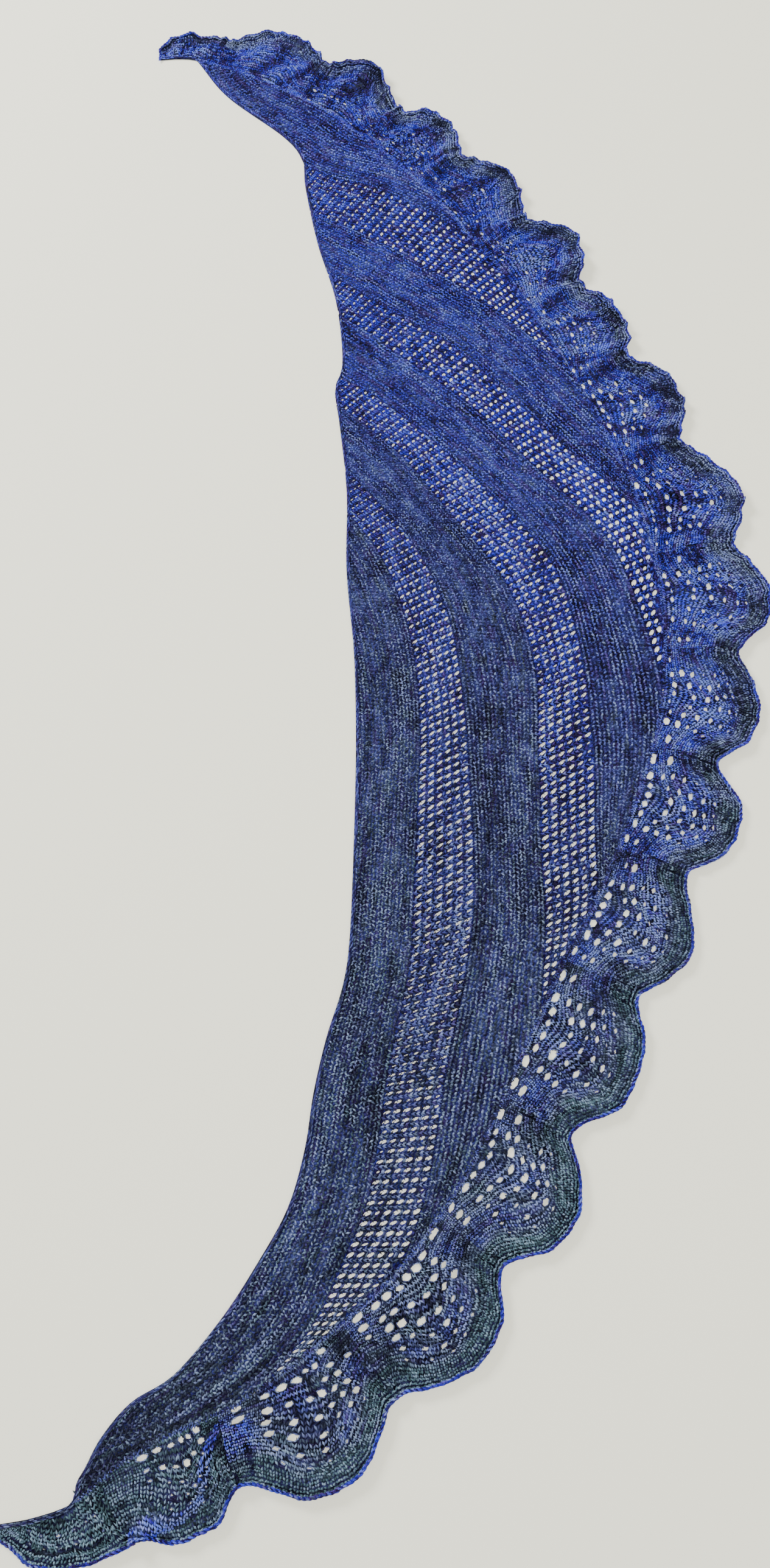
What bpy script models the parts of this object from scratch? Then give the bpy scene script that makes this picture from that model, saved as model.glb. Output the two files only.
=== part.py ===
"""Crescent lace shawl, knitted in fine wool and laid flat.

Plain ridged stripes and eyelet mesh bands run along the shawl from the neck edge
to the lace border. The border has seventeen fans of holes. Between two fans the
cloth is drawn together and stands up as a soft ridge. A bound-off cord finishes
the scalloped edge. The underside rests on z = 0, X runs from the neck to the
border and Y along the shawl. All sizes are in metres.
"""

import bisect
import math

import bpy
from mathutils import Vector

# Cloth
PLAIN_THICKNESS = 0.0022
MESH_THICKNESS = 0.0016
LACE_THICKNESS = 0.0018
EDGE_CORD_RADIUS = 0.0020
SEAM_GAP = 0.0004
CORD_GAP = 0.0008
NARROWEST_STRIPE = 0.0015
ROOT_STEPS = 40
ROOT_LOOK = 0.02

# Sections across the body, from the upper tip to the lower one. Each runs along
# the stitch columns from the neck edge to the border. The last eight values are
# the places of the mesh bands' edges, as shares of the section's length; below 0
# or above 1 the band is not met.
SECTION_COLUMNS = (
    "neck_x", "neck_y", "root_x", "root_y",
    "a_in", "a_out", "b_in", "b_out", "c_in", "c_out", "d_in", "d_out",
)
SECTIONS = (
    (-0.295, 0.825, -0.293, 0.826, -2.4, -2.2, -2.0, -1.8, -1.6, -1.4, -1.1, -0.80),
    (-0.253, 0.762, -0.228, 0.800, -1.9, -1.7, -1.6, -1.4, -1.2, -1.0, -0.8, -0.55),
    (-0.178, 0.692, -0.143, 0.750, -1.5, -1.3, -1.2, -1.0, -0.9, -0.7, -0.5, -0.25),
    (-0.153, 0.652, -0.113, 0.728, -1.3, -1.2, -1.0, -0.9, -0.7, -0.6, -0.4, -0.05),
    (-0.148, 0.607, -0.088, 0.703, -1.1, -1.0, -0.9, -0.8, -0.6, -0.45, -0.20, 0.26),
    (-0.131, 0.517, -0.040, 0.655, -0.9, -0.8, -0.7, -0.6, -0.35, -0.17, 0.24, 0.67),
    (-0.107, 0.427, 0.014, 0.589, -0.7, -0.6, -0.42, -0.34, -0.06, 0.14, 0.52, 0.88),
    (-0.098, 0.337, 0.064, 0.517, -0.45, -0.32, -0.16, -0.07, 0.22, 0.39, 0.72, 1.00),
    (-0.106, 0.297, 0.087, 0.484, -0.34, -0.22, -0.05, 0.07, 0.32, 0.50, 0.79, 1.03),
    (-0.100, 0.247, 0.110, 0.445, -0.24, -0.13, 0.07, 0.20, 0.42, 0.60, 0.86, 1.06),
    (-0.091, 0.157, 0.157, 0.349, -0.05, 0.06, 0.25, 0.38, 0.59, 0.73, 0.98, 1.12),
    (-0.090, 0.057, 0.202, 0.245, 0.12, 0.23, 0.39, 0.54, 0.72, 0.85, 1.08, 1.18),
    (-0.081, -0.043, 0.239, 0.125, 0.18, 0.31, 0.51, 0.67, 0.86, 1.00, 1.14, 1.24),
    (-0.078, -0.143, 0.251, 0.009, 0.20, 0.34, 0.57, 0.72, 0.93, 1.08, 1.18, 1.28),
    (-0.079, -0.243, 0.239, -0.108, 0.20, 0.37, 0.59, 0.77, 1.01, 1.14, 1.24, 1.34),
    (-0.082, -0.343, 0.196, -0.231, 0.22, 0.44, 0.68, 0.88, 1.08, 1.18, 1.28, 1.38),
    (-0.088, -0.393, 0.157, -0.313, 0.26, 0.50, 0.80, 1.01, 1.14, 1.24, 1.34, 1.44),
    (-0.103, -0.443, 0.115, -0.390, 0.31, 0.58, 0.94, 1.12, 1.22, 1.32, 1.42, 1.52),
    (-0.114, -0.493, 0.078, -0.463, 0.35, 0.64, 1.09, 1.20, 1.30, 1.40, 1.50, 1.60),
    (-0.121, -0.543, 0.046, -0.528, 0.40, 0.72, 1.20, 1.30, 1.40, 1.50, 1.60, 1.70),
    (-0.135, -0.593, 0.010, -0.587, 0.48, 0.84, 1.28, 1.38, 1.48, 1.58, 1.68, 1.78),
    (-0.160, -0.638, -0.030, -0.638, 0.57, 0.98, 1.36, 1.46, 1.56, 1.66, 1.76, 1.86),
    (-0.190, -0.683, -0.076, -0.680, 0.73, 1.12, 1.44, 1.54, 1.64, 1.74, 1.84, 1.94),
    (-0.228, -0.726, -0.130, -0.721, 0.90, 1.22, 1.52, 1.62, 1.72, 1.82, 1.92, 2.02),
    (-0.263, -0.747, -0.178, -0.751, 1.06, 1.32, 1.60, 1.70, 1.80, 1.90, 2.00, 2.10),
    (-0.286, -0.773, -0.228, -0.771, 1.20, 1.42, 1.68, 1.78, 1.88, 1.98, 2.08, 2.18),
    (-0.299, -0.798, -0.271, -0.795, 1.30, 1.50, 1.76, 1.86, 1.96, 2.06, 2.16, 2.26),
    (-0.311, -0.815, -0.304, -0.820, 1.40, 1.60, 1.84, 1.94, 2.04, 2.14, 2.24, 2.34),
)

# The border's root line runs on past the body at both tips
UPPER_TAIL = ((-0.345, 0.828), (-0.320, 0.830))
LOWER_TAIL = ((-0.336, -0.831), (-0.366, -0.836))

# Fans of the border, from the upper tip to the lower one. Places are measured
# along the root line. A reach is how far the edge stands off it: half way before
# the fan's centre, at the centre, half way after it, and at the notch that follows.
# The ridge is the cloth's rise at that notch, and the curl that of the fan's edge.
FAN_COLUMNS = (
    "centre", "before", "reach", "after", "notch", "notch_reach", "ridge", "curl", "hole_rows",
)
FANS = (
    (0.030, 0.032, 0.034, 0.040, 0.078, 0.043, 0.006, 0.003, 0),
    (0.148, 0.071, 0.081, 0.077, 0.205, 0.064, 0.010, 0.006, 0),
    (0.250, 0.080, 0.092, 0.073, 0.321, 0.062, 0.010, 0.008, 3),
    (0.370, 0.084, 0.088, 0.083, 0.417, 0.068, 0.011, 0.007, 4),
    (0.475, 0.081, 0.096, 0.086, 0.544, 0.070, 0.009, 0.006, 4),
    (0.585, 0.080, 0.102, 0.093, 0.656, 0.070, 0.010, 0.007, 4),
    (0.715, 0.086, 0.088, 0.085, 0.768, 0.069, 0.011, 0.006, 4),
    (0.825, 0.092, 0.099, 0.094, 0.887, 0.074, 0.009, 0.005, 4),
    (0.957, 0.094, 0.112, 0.105, 1.015, 0.088, 0.008, 0.006, 4),
    (1.065, 0.104, 0.115, 0.108, 1.131, 0.076, 0.009, 0.004, 4),
    (1.185, 0.090, 0.099, 0.092, 1.244, 0.067, 0.010, 0.004, 4),
    (1.302, 0.098, 0.104, 0.097, 1.361, 0.071, 0.009, 0.003, 4),
    (1.427, 0.089, 0.103, 0.093, 1.488, 0.076, 0.010, 0.004, 4),
    (1.555, 0.096, 0.103, 0.099, 1.633, 0.069, 0.011, 0.005, 4),
    (1.686, 0.090, 0.103, 0.096, 1.751, 0.069, 0.013, 0.005, 4),
    (1.812, 0.094, 0.100, 0.088, 1.872, 0.073, 0.013, 0.005, 4),
    (1.922, 0.087, 0.100, 0.092, 1.998, 0.056, 0.014, 0.006, 4),
    (2.035, 0.074, 0.077, 0.073, 2.105, 0.054, 0.012, 0.005, 2),
    (2.140, 0.049, 0.044, 0.034, None, 0.012, 0.000, 0.004, 0),
)
UPPER_END_REACH = 0.016
BORDER_STRETCHES = (4, 4, 4, 4, 3)

# A fan's cells: shares of its half width, and of its reach
FAN_COLUMN_EDGES = (-1.0, -0.70, -0.42, -0.27, -0.17, -0.05, 0.05, 0.17, 0.27, 0.42, 0.70, 1.0)
HOLE_COLUMNS = (2, 4, 6, 8)
FAN_ROW_EDGES = (0.0, 0.03, 0.10, 0.22, 0.285, 0.36, 0.42, 0.49, 0.55, 0.77, 1.0)
HOLE_ROWS = (1, 3, 5, 7)
KNOT_SHARE = 0.42
FAN_SPREAD = 0.5
RIDGE_FOOT = 0.30
RIDGE_CREST_ROW = 0.60
RIDGE_EDGE_SHARE = 0.45
CORD_SQUARED_AT = 0.95

# Cloth colours, as the yarn's mean over each piece
PLAIN_COLOUR = (0.020, 0.035, 0.150, 1.0)
MESH_COLOUR = (0.015, 0.050, 0.330, 1.0)
BORDER_COLOUR = (0.030, 0.050, 0.130, 1.0)
EDGE_COLOUR = (0.020, 0.070, 0.420, 1.0)


def clear_scene():
    for obj in list(bpy.data.objects):
        bpy.data.objects.remove(obj, do_unlink=True)


def wool(name, colour):
    material = bpy.data.materials.new(name)
    material.use_nodes = True
    shader = material.node_tree.nodes["Principled BSDF"]
    shader.inputs["Base Color"].default_value = colour
    shader.inputs["Roughness"].default_value = 0.9
    shader.inputs["Metallic"].default_value = 0.0
    return material


def smooth_step(value):
    value = min(max(value, 0.0), 1.0)
    return value * value * (3.0 - 2.0 * value)


def through(values, place):
    """The value at a place along a row of values, on a smooth curve through them."""
    last = len(values) - 1
    i = min(max(int(place), 0), last - 1)
    t = place - i
    before = values[i - 1] if i > 0 else 2 * values[0] - values[1]
    a, b = values[i], values[i + 1]
    after = values[i + 2] if i + 2 <= last else 2 * values[last] - values[last - 1]
    slope_a = (b - before) / 2
    slope_b = (after - a) / 2
    return (
        a * (1 + 2 * t) * (1 - t) ** 2
        + slope_a * t * (1 - t) ** 2
        + b * t * t * (3 - 2 * t)
        + slope_b * t * t * (t - 1)
    )


def column(name):
    return [row[SECTION_COLUMNS.index(name)] for row in SECTIONS]


class Root:
    """The line where the border is joined to the body, with its two tails.

    Both sides of the seam follow the same chords, which meet at the knots. A place
    counts the sections from the first one, and goes on past them along the tails.
    """

    def __init__(self):
        points = list(UPPER_TAIL) + list(zip(column("root_x"), column("root_y"))) + list(LOWER_TAIL)
        self.xs = [x for x, y in points]
        self.ys = [y for x, y in points]
        self.first_place = -len(UPPER_TAIL)
        steps = (len(points) - 1) * ROOT_STEPS
        self.lengths = [0.0]
        for i in range(steps):
            run = self.smooth(self.fine_place(i + 1)) - self.smooth(self.fine_place(i))
            self.lengths.append(self.lengths[-1] + run.length)
        self.knots = self.fan_knots()

    def fine_place(self, i):
        return self.first_place + i / ROOT_STEPS

    def smooth(self, place):
        spot = place - self.first_place
        return Vector((through(self.xs, spot), through(self.ys, spot), 0.0))

    def place(self, along):
        """The place at a distance along the line."""
        i = bisect.bisect_left(self.lengths, along, 1, len(self.lengths) - 1) - 1
        share = (along - self.lengths[i]) / (self.lengths[i + 1] - self.lengths[i])
        return self.fine_place(i + share)

    def fan_knots(self):
        knots = []
        start = 0.0
        for row in FANS:
            centre = row[FAN_COLUMNS.index("centre")]
            end = row[FAN_COLUMNS.index("notch")] or self.lengths[-1]
            knots += [start, centre - KNOT_SHARE * (centre - start)]
            knots.append(centre + KNOT_SHARE * (end - centre))
            start = end
        return [self.place(along) for along in knots + [self.lengths[-1]]]

    def chord(self, place):
        """The point on the chords at a place."""
        i = bisect.bisect_left(self.knots, place, 1, len(self.knots) - 1) - 1
        a, b = self.knots[i], self.knots[i + 1]
        return self.smooth(a).lerp(self.smooth(b), (place - a) / (b - a))

    def outward(self, along):
        """The direction away from the body, level and square to the line."""
        last = self.lengths[-1]
        ahead = self.smooth(self.place(min(along + ROOT_LOOK, last)))
        behind = self.smooth(self.place(max(along - ROOT_LOOK, 0.0)))
        run = (ahead - behind).normalized()
        return Vector((-run.y, run.x, 0.0))


class Body:
    """The body's plan: sections from the neck edge to the border's root line."""

    def __init__(self, root):
        self.root = root
        self.columns = {name: column(name) for name in SECTION_COLUMNS}
        last = len(SECTIONS) - 1
        inner_knots = [place for place in root.knots if 0 < place < last]
        self.places = sorted([0.0, last] + inner_knots + self.crossings(last))

    def share(self, band_edge, place):
        """A band edge's share of the section; 'neck' and 'root' are its two ends."""
        if band_edge == "neck":
            return 0.0
        if band_edge == "root":
            return 1.0
        return through(self.columns[band_edge], place)

    def ends(self, place):
        neck_x = through(self.columns["neck_x"], place)
        neck_y = through(self.columns["neck_y"], place)
        return Vector((neck_x, neck_y, 0.0)), self.root.chord(place)

    def crossings(self, last):
        """Both sides of each place where a band edge meets the neck edge or the root."""
        places = []
        fine = [i / ROOT_STEPS for i in range(last * ROOT_STEPS + 1)]
        for band_edge in SECTION_COLUMNS[4:]:
            for before, after in zip(fine, fine[1:]):
                a = self.share(band_edge, before)
                b = self.share(band_edge, after)
                if a * b < 0 or (a - 1.0) * (b - 1.0) < 0:
                    places += [before - 1 / ROOT_STEPS, after + 1 / ROOT_STEPS]
        return places

    def strip(self, inner, outer):
        """Rows of points across the strip between two band edges."""
        rows = []
        for place in self.places:
            neck, root = self.ends(place)
            length = (root - neck).length
            inset = SEAM_GAP / 2 / length
            low = min(max(self.share(inner, place), 0.0), 1.0)
            high = min(max(self.share(outer, place), 0.0), 1.0)
            low = low + inset if low > 0 else low
            high = high - inset
            if (high - low) * length < NARROWEST_STRIPE:
                continue
            shares = (low, (low + high) / 2, high)
            rows.append([neck.lerp(root, share) for share in shares])
        return rows


class Fan:
    """One scallop of the border, with its place on the root line."""

    def __init__(self, root, row, start, start_reach, start_ridge):
        values = dict(zip(FAN_COLUMNS, row))
        self.root = root
        self.start = start
        self.centre = values["centre"]
        self.end = values["notch"] or root.lengths[-1]
        self.end_reach = values["notch_reach"]
        self.reaches = (start_reach, values["before"], values["reach"], values["after"], self.end_reach)
        self.start_ridge = start_ridge
        self.end_ridge = values["ridge"]
        self.curl = values["curl"]
        self.hole_rows = HOLE_ROWS[: values["hole_rows"]]

    def along(self, across):
        """The place on the root line, for a share of the half width from -1 to 1."""
        if across < 0:
            return self.centre + across * (self.centre - self.start)
        return self.centre + across * (self.end - self.centre)

    def reach_at(self, across):
        """How far the edge stands off the root line; it runs level at the two notches."""
        row = (self.reaches[1], *self.reaches, self.reaches[3])
        return through(row, 3.0 + 2.0 * across)

    def outline(self, across):
        """The scalloped edge in plan."""
        along = self.along(across)
        foot = self.root.smooth(self.root.place(along))
        return foot + self.root.outward(along) * self.reach_at(across)

    def inside_edge(self, across, inset):
        """A point inside the scalloped edge, square to it."""
        step = 0.04
        ahead = self.outline(min(across + step, 1.0))
        behind = self.outline(max(across - step, -1.0))
        run = (ahead - behind).normalized()
        return self.outline(across) - Vector((-run.y, run.x, 0.0)) * inset

    def height(self, across, share):
        """The underside's height over the surface that the shawl rests on."""
        ridge = self.start_ridge if across < 0 else self.end_ridge
        rise = smooth_step((abs(across) - RIDGE_FOOT) / (1.0 - RIDGE_FOOT))
        if share < RIDGE_CREST_ROW:
            profile = smooth_step(share / RIDGE_CREST_ROW)
        else:
            fall = smooth_step((share - RIDGE_CREST_ROW) / (1.0 - RIDGE_CREST_ROW))
            profile = 1.0 - (1.0 - RIDGE_EDGE_SHARE) * fall
        curl = self.curl * smooth_step((share - 0.7) / 0.3) * (1.0 - rise)
        return ridge * rise * profile + curl

    def spread(self, across):
        """Columns fan out towards the edge and close up at the notches."""
        return across + FAN_SPREAD * math.sin(math.pi * across) / math.pi

    def cloth_point(self, across, share):
        along = self.along(across)
        foot = self.root.chord(self.root.place(along))
        foot += self.root.outward(along) * (SEAM_GAP / 2)
        inset = 2 * EDGE_CORD_RADIUS + CORD_GAP
        edge = self.inside_edge(self.spread(across), inset)
        point = foot.lerp(edge, share)
        point.z = self.height(across, share)
        return point

    def cord_point(self, across):
        point = self.inside_edge(self.spread(across), EDGE_CORD_RADIUS)
        point.z = self.height(across, 1.0) + EDGE_CORD_RADIUS
        return point


def fans_along(root):
    fans = []
    start, start_reach, start_ridge = 0.0, UPPER_END_REACH, 0.0
    for row in FANS:
        fan = Fan(root, row, start, start_reach, start_ridge)
        fans.append(fan)
        start, start_reach, start_ridge = fan.end, fan.end_reach, fan.end_ridge
    return fans


def cloth(name, rows, thickness, material, collection, left_out=()):
    """A wall on a lattice of points: the lattice is its underside."""
    width = len(rows[0])
    points = [point for row in rows for point in row]
    faces = []
    for i in range(len(rows) - 1):
        for j in range(width - 1):
            if (i, j) in left_out:
                continue
            a = i * width + j
            faces.append((a, a + 1, a + 1 + width, a + width))
    mesh = bpy.data.meshes.new(name)
    mesh.from_pydata(points, [], faces)
    if sum(polygon.normal.z for polygon in mesh.polygons) < 0:
        mesh.flip_normals()
    mesh.materials.append(material)
    obj = bpy.data.objects.new(name, mesh)
    collection.objects.link(obj)
    wall = obj.modifiers.new("wall", "SOLIDIFY")
    wall.thickness = thickness
    wall.offset = 1.0
    return obj


def cord(name, points, radius, material, collection):
    curve = bpy.data.curves.new(name, "CURVE")
    curve.dimensions = "3D"
    curve.bevel_depth = radius
    curve.bevel_resolution = 1
    curve.use_fill_caps = True
    spline = curve.splines.new("POLY")
    spline.points.add(len(points) - 1)
    for spot, point in zip(spline.points, points):
        spot.co = (*point, 1.0)
    curve.materials.append(material)
    obj = bpy.data.objects.new(name, curve)
    collection.objects.link(obj)
    return obj


def build_body(root, collection):
    body = Body(root)
    plain = wool("plain stripe wool", PLAIN_COLOUR)
    mesh = wool("mesh band wool", MESH_COLOUR)
    strips = (
        ("plain_stripe_1", "d_out", "root", PLAIN_THICKNESS, plain),
        ("mesh_band_1", "d_in", "d_out", MESH_THICKNESS, mesh),
        ("plain_stripe_2", "c_out", "d_in", PLAIN_THICKNESS, plain),
        ("mesh_band_2", "c_in", "c_out", MESH_THICKNESS, mesh),
        ("plain_stripe_3", "b_out", "c_in", PLAIN_THICKNESS, plain),
        ("mesh_band_3", "b_in", "b_out", MESH_THICKNESS, mesh),
        ("plain_stripe_4", "a_out", "b_in", PLAIN_THICKNESS, plain),
        ("mesh_band_4", "a_in", "a_out", MESH_THICKNESS, mesh),
        ("plain_stripe_5", "neck", "a_in", PLAIN_THICKNESS, plain),
    )
    for name, inner, outer, thickness, material in strips:
        cloth(name, body.strip(inner, outer), thickness, material, collection)


def lace_rows(fans):
    """Lattice rows along a stretch of the border, and the cells that are holes."""
    rows, holes = [], set()
    for number, fan in enumerate(fans):
        first_row = len(rows) - 1 if rows else 0
        edges = FAN_COLUMN_EDGES if not rows else FAN_COLUMN_EDGES[1:]
        for across in edges:
            rows.append([fan.cloth_point(across, share) for share in FAN_ROW_EDGES])
        for i in HOLE_COLUMNS:
            holes |= {(first_row + i, j) for j in fan.hole_rows}
    return rows, holes


def parted(rows):
    """The rows with the first and last drawn in by half a seam gap."""
    for end, next_one in ((0, 1), (-1, -2)):
        for j, point in enumerate(rows[end]):
            towards = (rows[next_one][j] - point).normalized()
            rows[end][j] = point + towards * (SEAM_GAP / 2)
    return rows


def build_border(root, collection):
    fans = fans_along(root)
    lace = wool("lace border wool", BORDER_COLOUR)
    bright = wool("bound edge wool", EDGE_COLOUR)
    first = 0
    for number, count in enumerate(BORDER_STRETCHES, start=1):
        stretch = fans[first:first + count]
        first += count
        rows, holes = lace_rows(stretch)
        cloth(f"lace_border_{number}", parted(rows), LACE_THICKNESS, lace, collection, holes)
        route = [fan.cord_point(across) for fan in stretch for across in FAN_COLUMN_EDGES[1:]]
        route[:0] = [stretch[0].cord_point(-1.0), stretch[0].cord_point(-CORD_SQUARED_AT)]
        route.insert(-1, stretch[-1].cord_point(CORD_SQUARED_AT))
        route = [row[0] for row in parted([[point] for point in route])]
        cord(f"bound_edge_{number}", route, EDGE_CORD_RADIUS, bright, collection)


clear_scene()
shawl = bpy.data.collections.new("lace shawl")
bpy.context.scene.collection.children.link(shawl)
root_line = Root()
build_body(root_line, shawl)
build_border(root_line, shawl)
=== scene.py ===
import math

import bpy
import numpy as np
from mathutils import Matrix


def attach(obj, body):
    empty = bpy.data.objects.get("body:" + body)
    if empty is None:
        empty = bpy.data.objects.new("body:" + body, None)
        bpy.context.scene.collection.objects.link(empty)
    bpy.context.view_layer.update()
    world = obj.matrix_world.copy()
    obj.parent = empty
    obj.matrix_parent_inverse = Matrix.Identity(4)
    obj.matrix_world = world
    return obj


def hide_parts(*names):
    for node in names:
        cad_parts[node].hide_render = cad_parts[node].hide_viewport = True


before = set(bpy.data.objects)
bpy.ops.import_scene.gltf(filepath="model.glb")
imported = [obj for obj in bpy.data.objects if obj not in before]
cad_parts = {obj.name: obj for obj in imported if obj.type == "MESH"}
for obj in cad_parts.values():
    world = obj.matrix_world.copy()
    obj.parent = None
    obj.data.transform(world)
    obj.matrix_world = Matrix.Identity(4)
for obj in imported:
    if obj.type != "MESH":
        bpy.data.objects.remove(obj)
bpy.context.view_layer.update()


# Plain stripes. Five lengths of close ridged knitting in fine hand-dyed wool, every row
# knitted so that its loops stand up in ridges. Each is worked on from the mesh beside it.
# A thin cloth here carries the loops, row by row.
SECTION_COLUMNS = (
    "neck_x", "neck_y", "root_x", "root_y",
    "a_in", "a_out", "b_in", "b_out", "c_in", "c_out", "d_in", "d_out",
)
# Sections across the body from tip to tip: where the neck edge and the border's root line
# are, and where each of the four mesh bands starts and ends as shares of the way between
SECTIONS = (
    (-0.295, 0.825, -0.293, 0.826, -2.4, -2.2, -2.0, -1.8, -1.6, -1.4, -1.1, -0.80),
    (-0.253, 0.762, -0.228, 0.800, -1.9, -1.7, -1.6, -1.4, -1.2, -1.0, -0.8, -0.55),
    (-0.178, 0.692, -0.143, 0.750, -1.5, -1.3, -1.2, -1.0, -0.9, -0.7, -0.5, -0.25),
    (-0.153, 0.652, -0.113, 0.728, -1.3, -1.2, -1.0, -0.9, -0.7, -0.6, -0.4, -0.05),
    (-0.148, 0.607, -0.088, 0.703, -1.1, -1.0, -0.9, -0.8, -0.6, -0.45, -0.20, 0.26),
    (-0.131, 0.517, -0.040, 0.655, -0.9, -0.8, -0.7, -0.6, -0.35, -0.17, 0.24, 0.67),
    (-0.107, 0.427, 0.014, 0.589, -0.7, -0.6, -0.42, -0.34, -0.06, 0.14, 0.52, 0.88),
    (-0.098, 0.337, 0.064, 0.517, -0.45, -0.32, -0.16, -0.07, 0.22, 0.39, 0.72, 1.00),
    (-0.106, 0.297, 0.087, 0.484, -0.34, -0.22, -0.05, 0.07, 0.32, 0.50, 0.79, 1.03),
    (-0.100, 0.247, 0.110, 0.445, -0.24, -0.13, 0.07, 0.20, 0.42, 0.60, 0.86, 1.06),
    (-0.091, 0.157, 0.157, 0.349, -0.05, 0.06, 0.25, 0.38, 0.59, 0.73, 0.98, 1.12),
    (-0.090, 0.057, 0.202, 0.245, 0.12, 0.23, 0.39, 0.54, 0.72, 0.85, 1.08, 1.18),
    (-0.081, -0.043, 0.239, 0.125, 0.18, 0.31, 0.51, 0.67, 0.86, 1.00, 1.14, 1.24),
    (-0.078, -0.143, 0.251, 0.009, 0.20, 0.34, 0.57, 0.72, 0.93, 1.08, 1.18, 1.28),
    (-0.079, -0.243, 0.239, -0.108, 0.20, 0.37, 0.59, 0.77, 1.01, 1.14, 1.24, 1.34),
    (-0.082, -0.343, 0.196, -0.231, 0.22, 0.44, 0.68, 0.88, 1.08, 1.18, 1.28, 1.38),
    (-0.088, -0.393, 0.157, -0.313, 0.26, 0.50, 0.80, 1.01, 1.14, 1.24, 1.34, 1.44),
    (-0.103, -0.443, 0.115, -0.390, 0.31, 0.58, 0.94, 1.12, 1.22, 1.32, 1.42, 1.52),
    (-0.114, -0.493, 0.078, -0.463, 0.35, 0.64, 1.09, 1.20, 1.30, 1.40, 1.50, 1.60),
    (-0.121, -0.543, 0.046, -0.528, 0.40, 0.72, 1.20, 1.30, 1.40, 1.50, 1.60, 1.70),
    (-0.135, -0.593, 0.010, -0.587, 0.48, 0.84, 1.28, 1.38, 1.48, 1.58, 1.68, 1.78),
    (-0.160, -0.638, -0.030, -0.638, 0.57, 0.98, 1.36, 1.46, 1.56, 1.66, 1.76, 1.86),
    (-0.190, -0.683, -0.076, -0.680, 0.73, 1.12, 1.44, 1.54, 1.64, 1.74, 1.84, 1.94),
    (-0.228, -0.726, -0.130, -0.721, 0.90, 1.22, 1.52, 1.62, 1.72, 1.82, 1.92, 2.02),
    (-0.263, -0.747, -0.178, -0.751, 1.06, 1.32, 1.60, 1.70, 1.80, 1.90, 2.00, 2.10),
    (-0.286, -0.773, -0.228, -0.771, 1.20, 1.42, 1.68, 1.78, 1.88, 1.98, 2.08, 2.18),
    (-0.299, -0.798, -0.271, -0.795, 1.30, 1.50, 1.76, 1.86, 1.96, 2.06, 2.16, 2.26),
    (-0.311, -0.815, -0.304, -0.820, 1.40, 1.60, 1.84, 1.94, 2.04, 2.14, 2.24, 2.34),
)
LAST_SECTION = len(SECTIONS) - 1
UPPER_TAIL = ((-0.345, 0.828), (-0.320, 0.830))
LOWER_TAIL = ((-0.336, -0.831), (-0.366, -0.836))
FINE_STEPS = 40
NARROWEST_STRIP = 0.0015
NECK_BEND = 0.7
NECK_CLOSE = 0.8

# The sides of each stripe, its ridges, its width where one side is the edge of the cloth,
# and how blue its wool is at the upper end, half way and at the lower end
STRIPES = (
    ("plain_stripe_1", "d_out", "root", 10, 0.084, (0.60, 0.90, 0.95)),
    ("plain_stripe_2", "c_out", "d_in", 10, 0.0, (1.05, 0.90, 0.75)),
    ("plain_stripe_3", "b_out", "c_in", 8, 0.0, (1.00, 0.65, 0.05)),
    ("plain_stripe_4", "a_out", "b_in", 9, 0.0, (0.60, 0.12, -0.08)),
    ("plain_stripe_5", "neck", "a_in", 10, 0.078, (0.25, -0.05, 0.00)),
)
PLAIN_STITCH = 0.0044
PLAIN_ROW = 0.0041
PLAIN_CLOTH = 0.0010
YARN = 0.0020
LOOP_SINK = 0.0002
SEAM_GAP = 0.0001
SEAM_CREEP = 0.002
HOLE_POINTS = 8
UP = np.array((0.0, 0.0, 1.0))

# Each dye from its darkest streak to its palest, as a level and its colour
DYES = {
    "royal": (
        (0.12, (0.013, 0.009, 0.045)), (0.30, (0.028, 0.014, 0.150)), (0.46, (0.034, 0.026, 0.560)),
        (0.64, (0.074, 0.094, 1.000)), (0.86, (0.250, 0.360, 1.000)),
    ),
    "indigo": (
        (0.12, (0.014, 0.009, 0.038)), (0.32, (0.050, 0.018, 0.130)), (0.50, (0.115, 0.065, 0.380)),
        (0.68, (0.190, 0.180, 0.620)), (0.88, (0.350, 0.430, 0.950)),
    ),
    "muted": (
        (0.12, (0.010, 0.011, 0.020)), (0.30, (0.024, 0.027, 0.050)), (0.47, (0.068, 0.082, 0.138)),
        (0.65, (0.165, 0.210, 0.345)), (0.88, (0.350, 0.440, 0.680)),
    ),
    "teal": (
        (0.12, (0.011, 0.015, 0.019)), (0.30, (0.023, 0.042, 0.050)), (0.48, (0.060, 0.110, 0.125)),
        (0.66, (0.130, 0.230, 0.280)), (0.88, (0.300, 0.450, 0.560)),
    ),
}


def through(values, place):
    """The values at places along a row of values, on a smooth curve through them."""
    values = np.asarray(values, float)
    place = np.asarray(place, float)
    row = np.concatenate(([2 * values[0] - values[1]], values, [2 * values[-1] - values[-2]]))
    i = np.clip(place.astype(int), 0, len(values) - 2)
    t = place - i
    a, b = row[i + 1], row[i + 2]
    slope_a = (b - row[i]) / 2
    slope_b = (row[i + 3] - a) / 2
    return (
        a * (1 + 2 * t) * (1 - t) ** 2
        + slope_a * t * (1 - t) ** 2
        + b * t * t * (3 - 2 * t)
        + slope_b * t * t * (t - 1)
    )


section = dict(zip(SECTION_COLUMNS, np.array(SECTIONS).T))
root_points = np.array([*UPPER_TAIL, *zip(section["root_x"], section["root_y"]), *LOWER_TAIL])


def root_at(place):
    """The line where the border joins the body; it runs on past it at both tips."""
    spot = np.asarray(place, float) + len(UPPER_TAIL)
    return np.stack((through(root_points[:, 0], spot), through(root_points[:, 1], spot)), -1)


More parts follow.
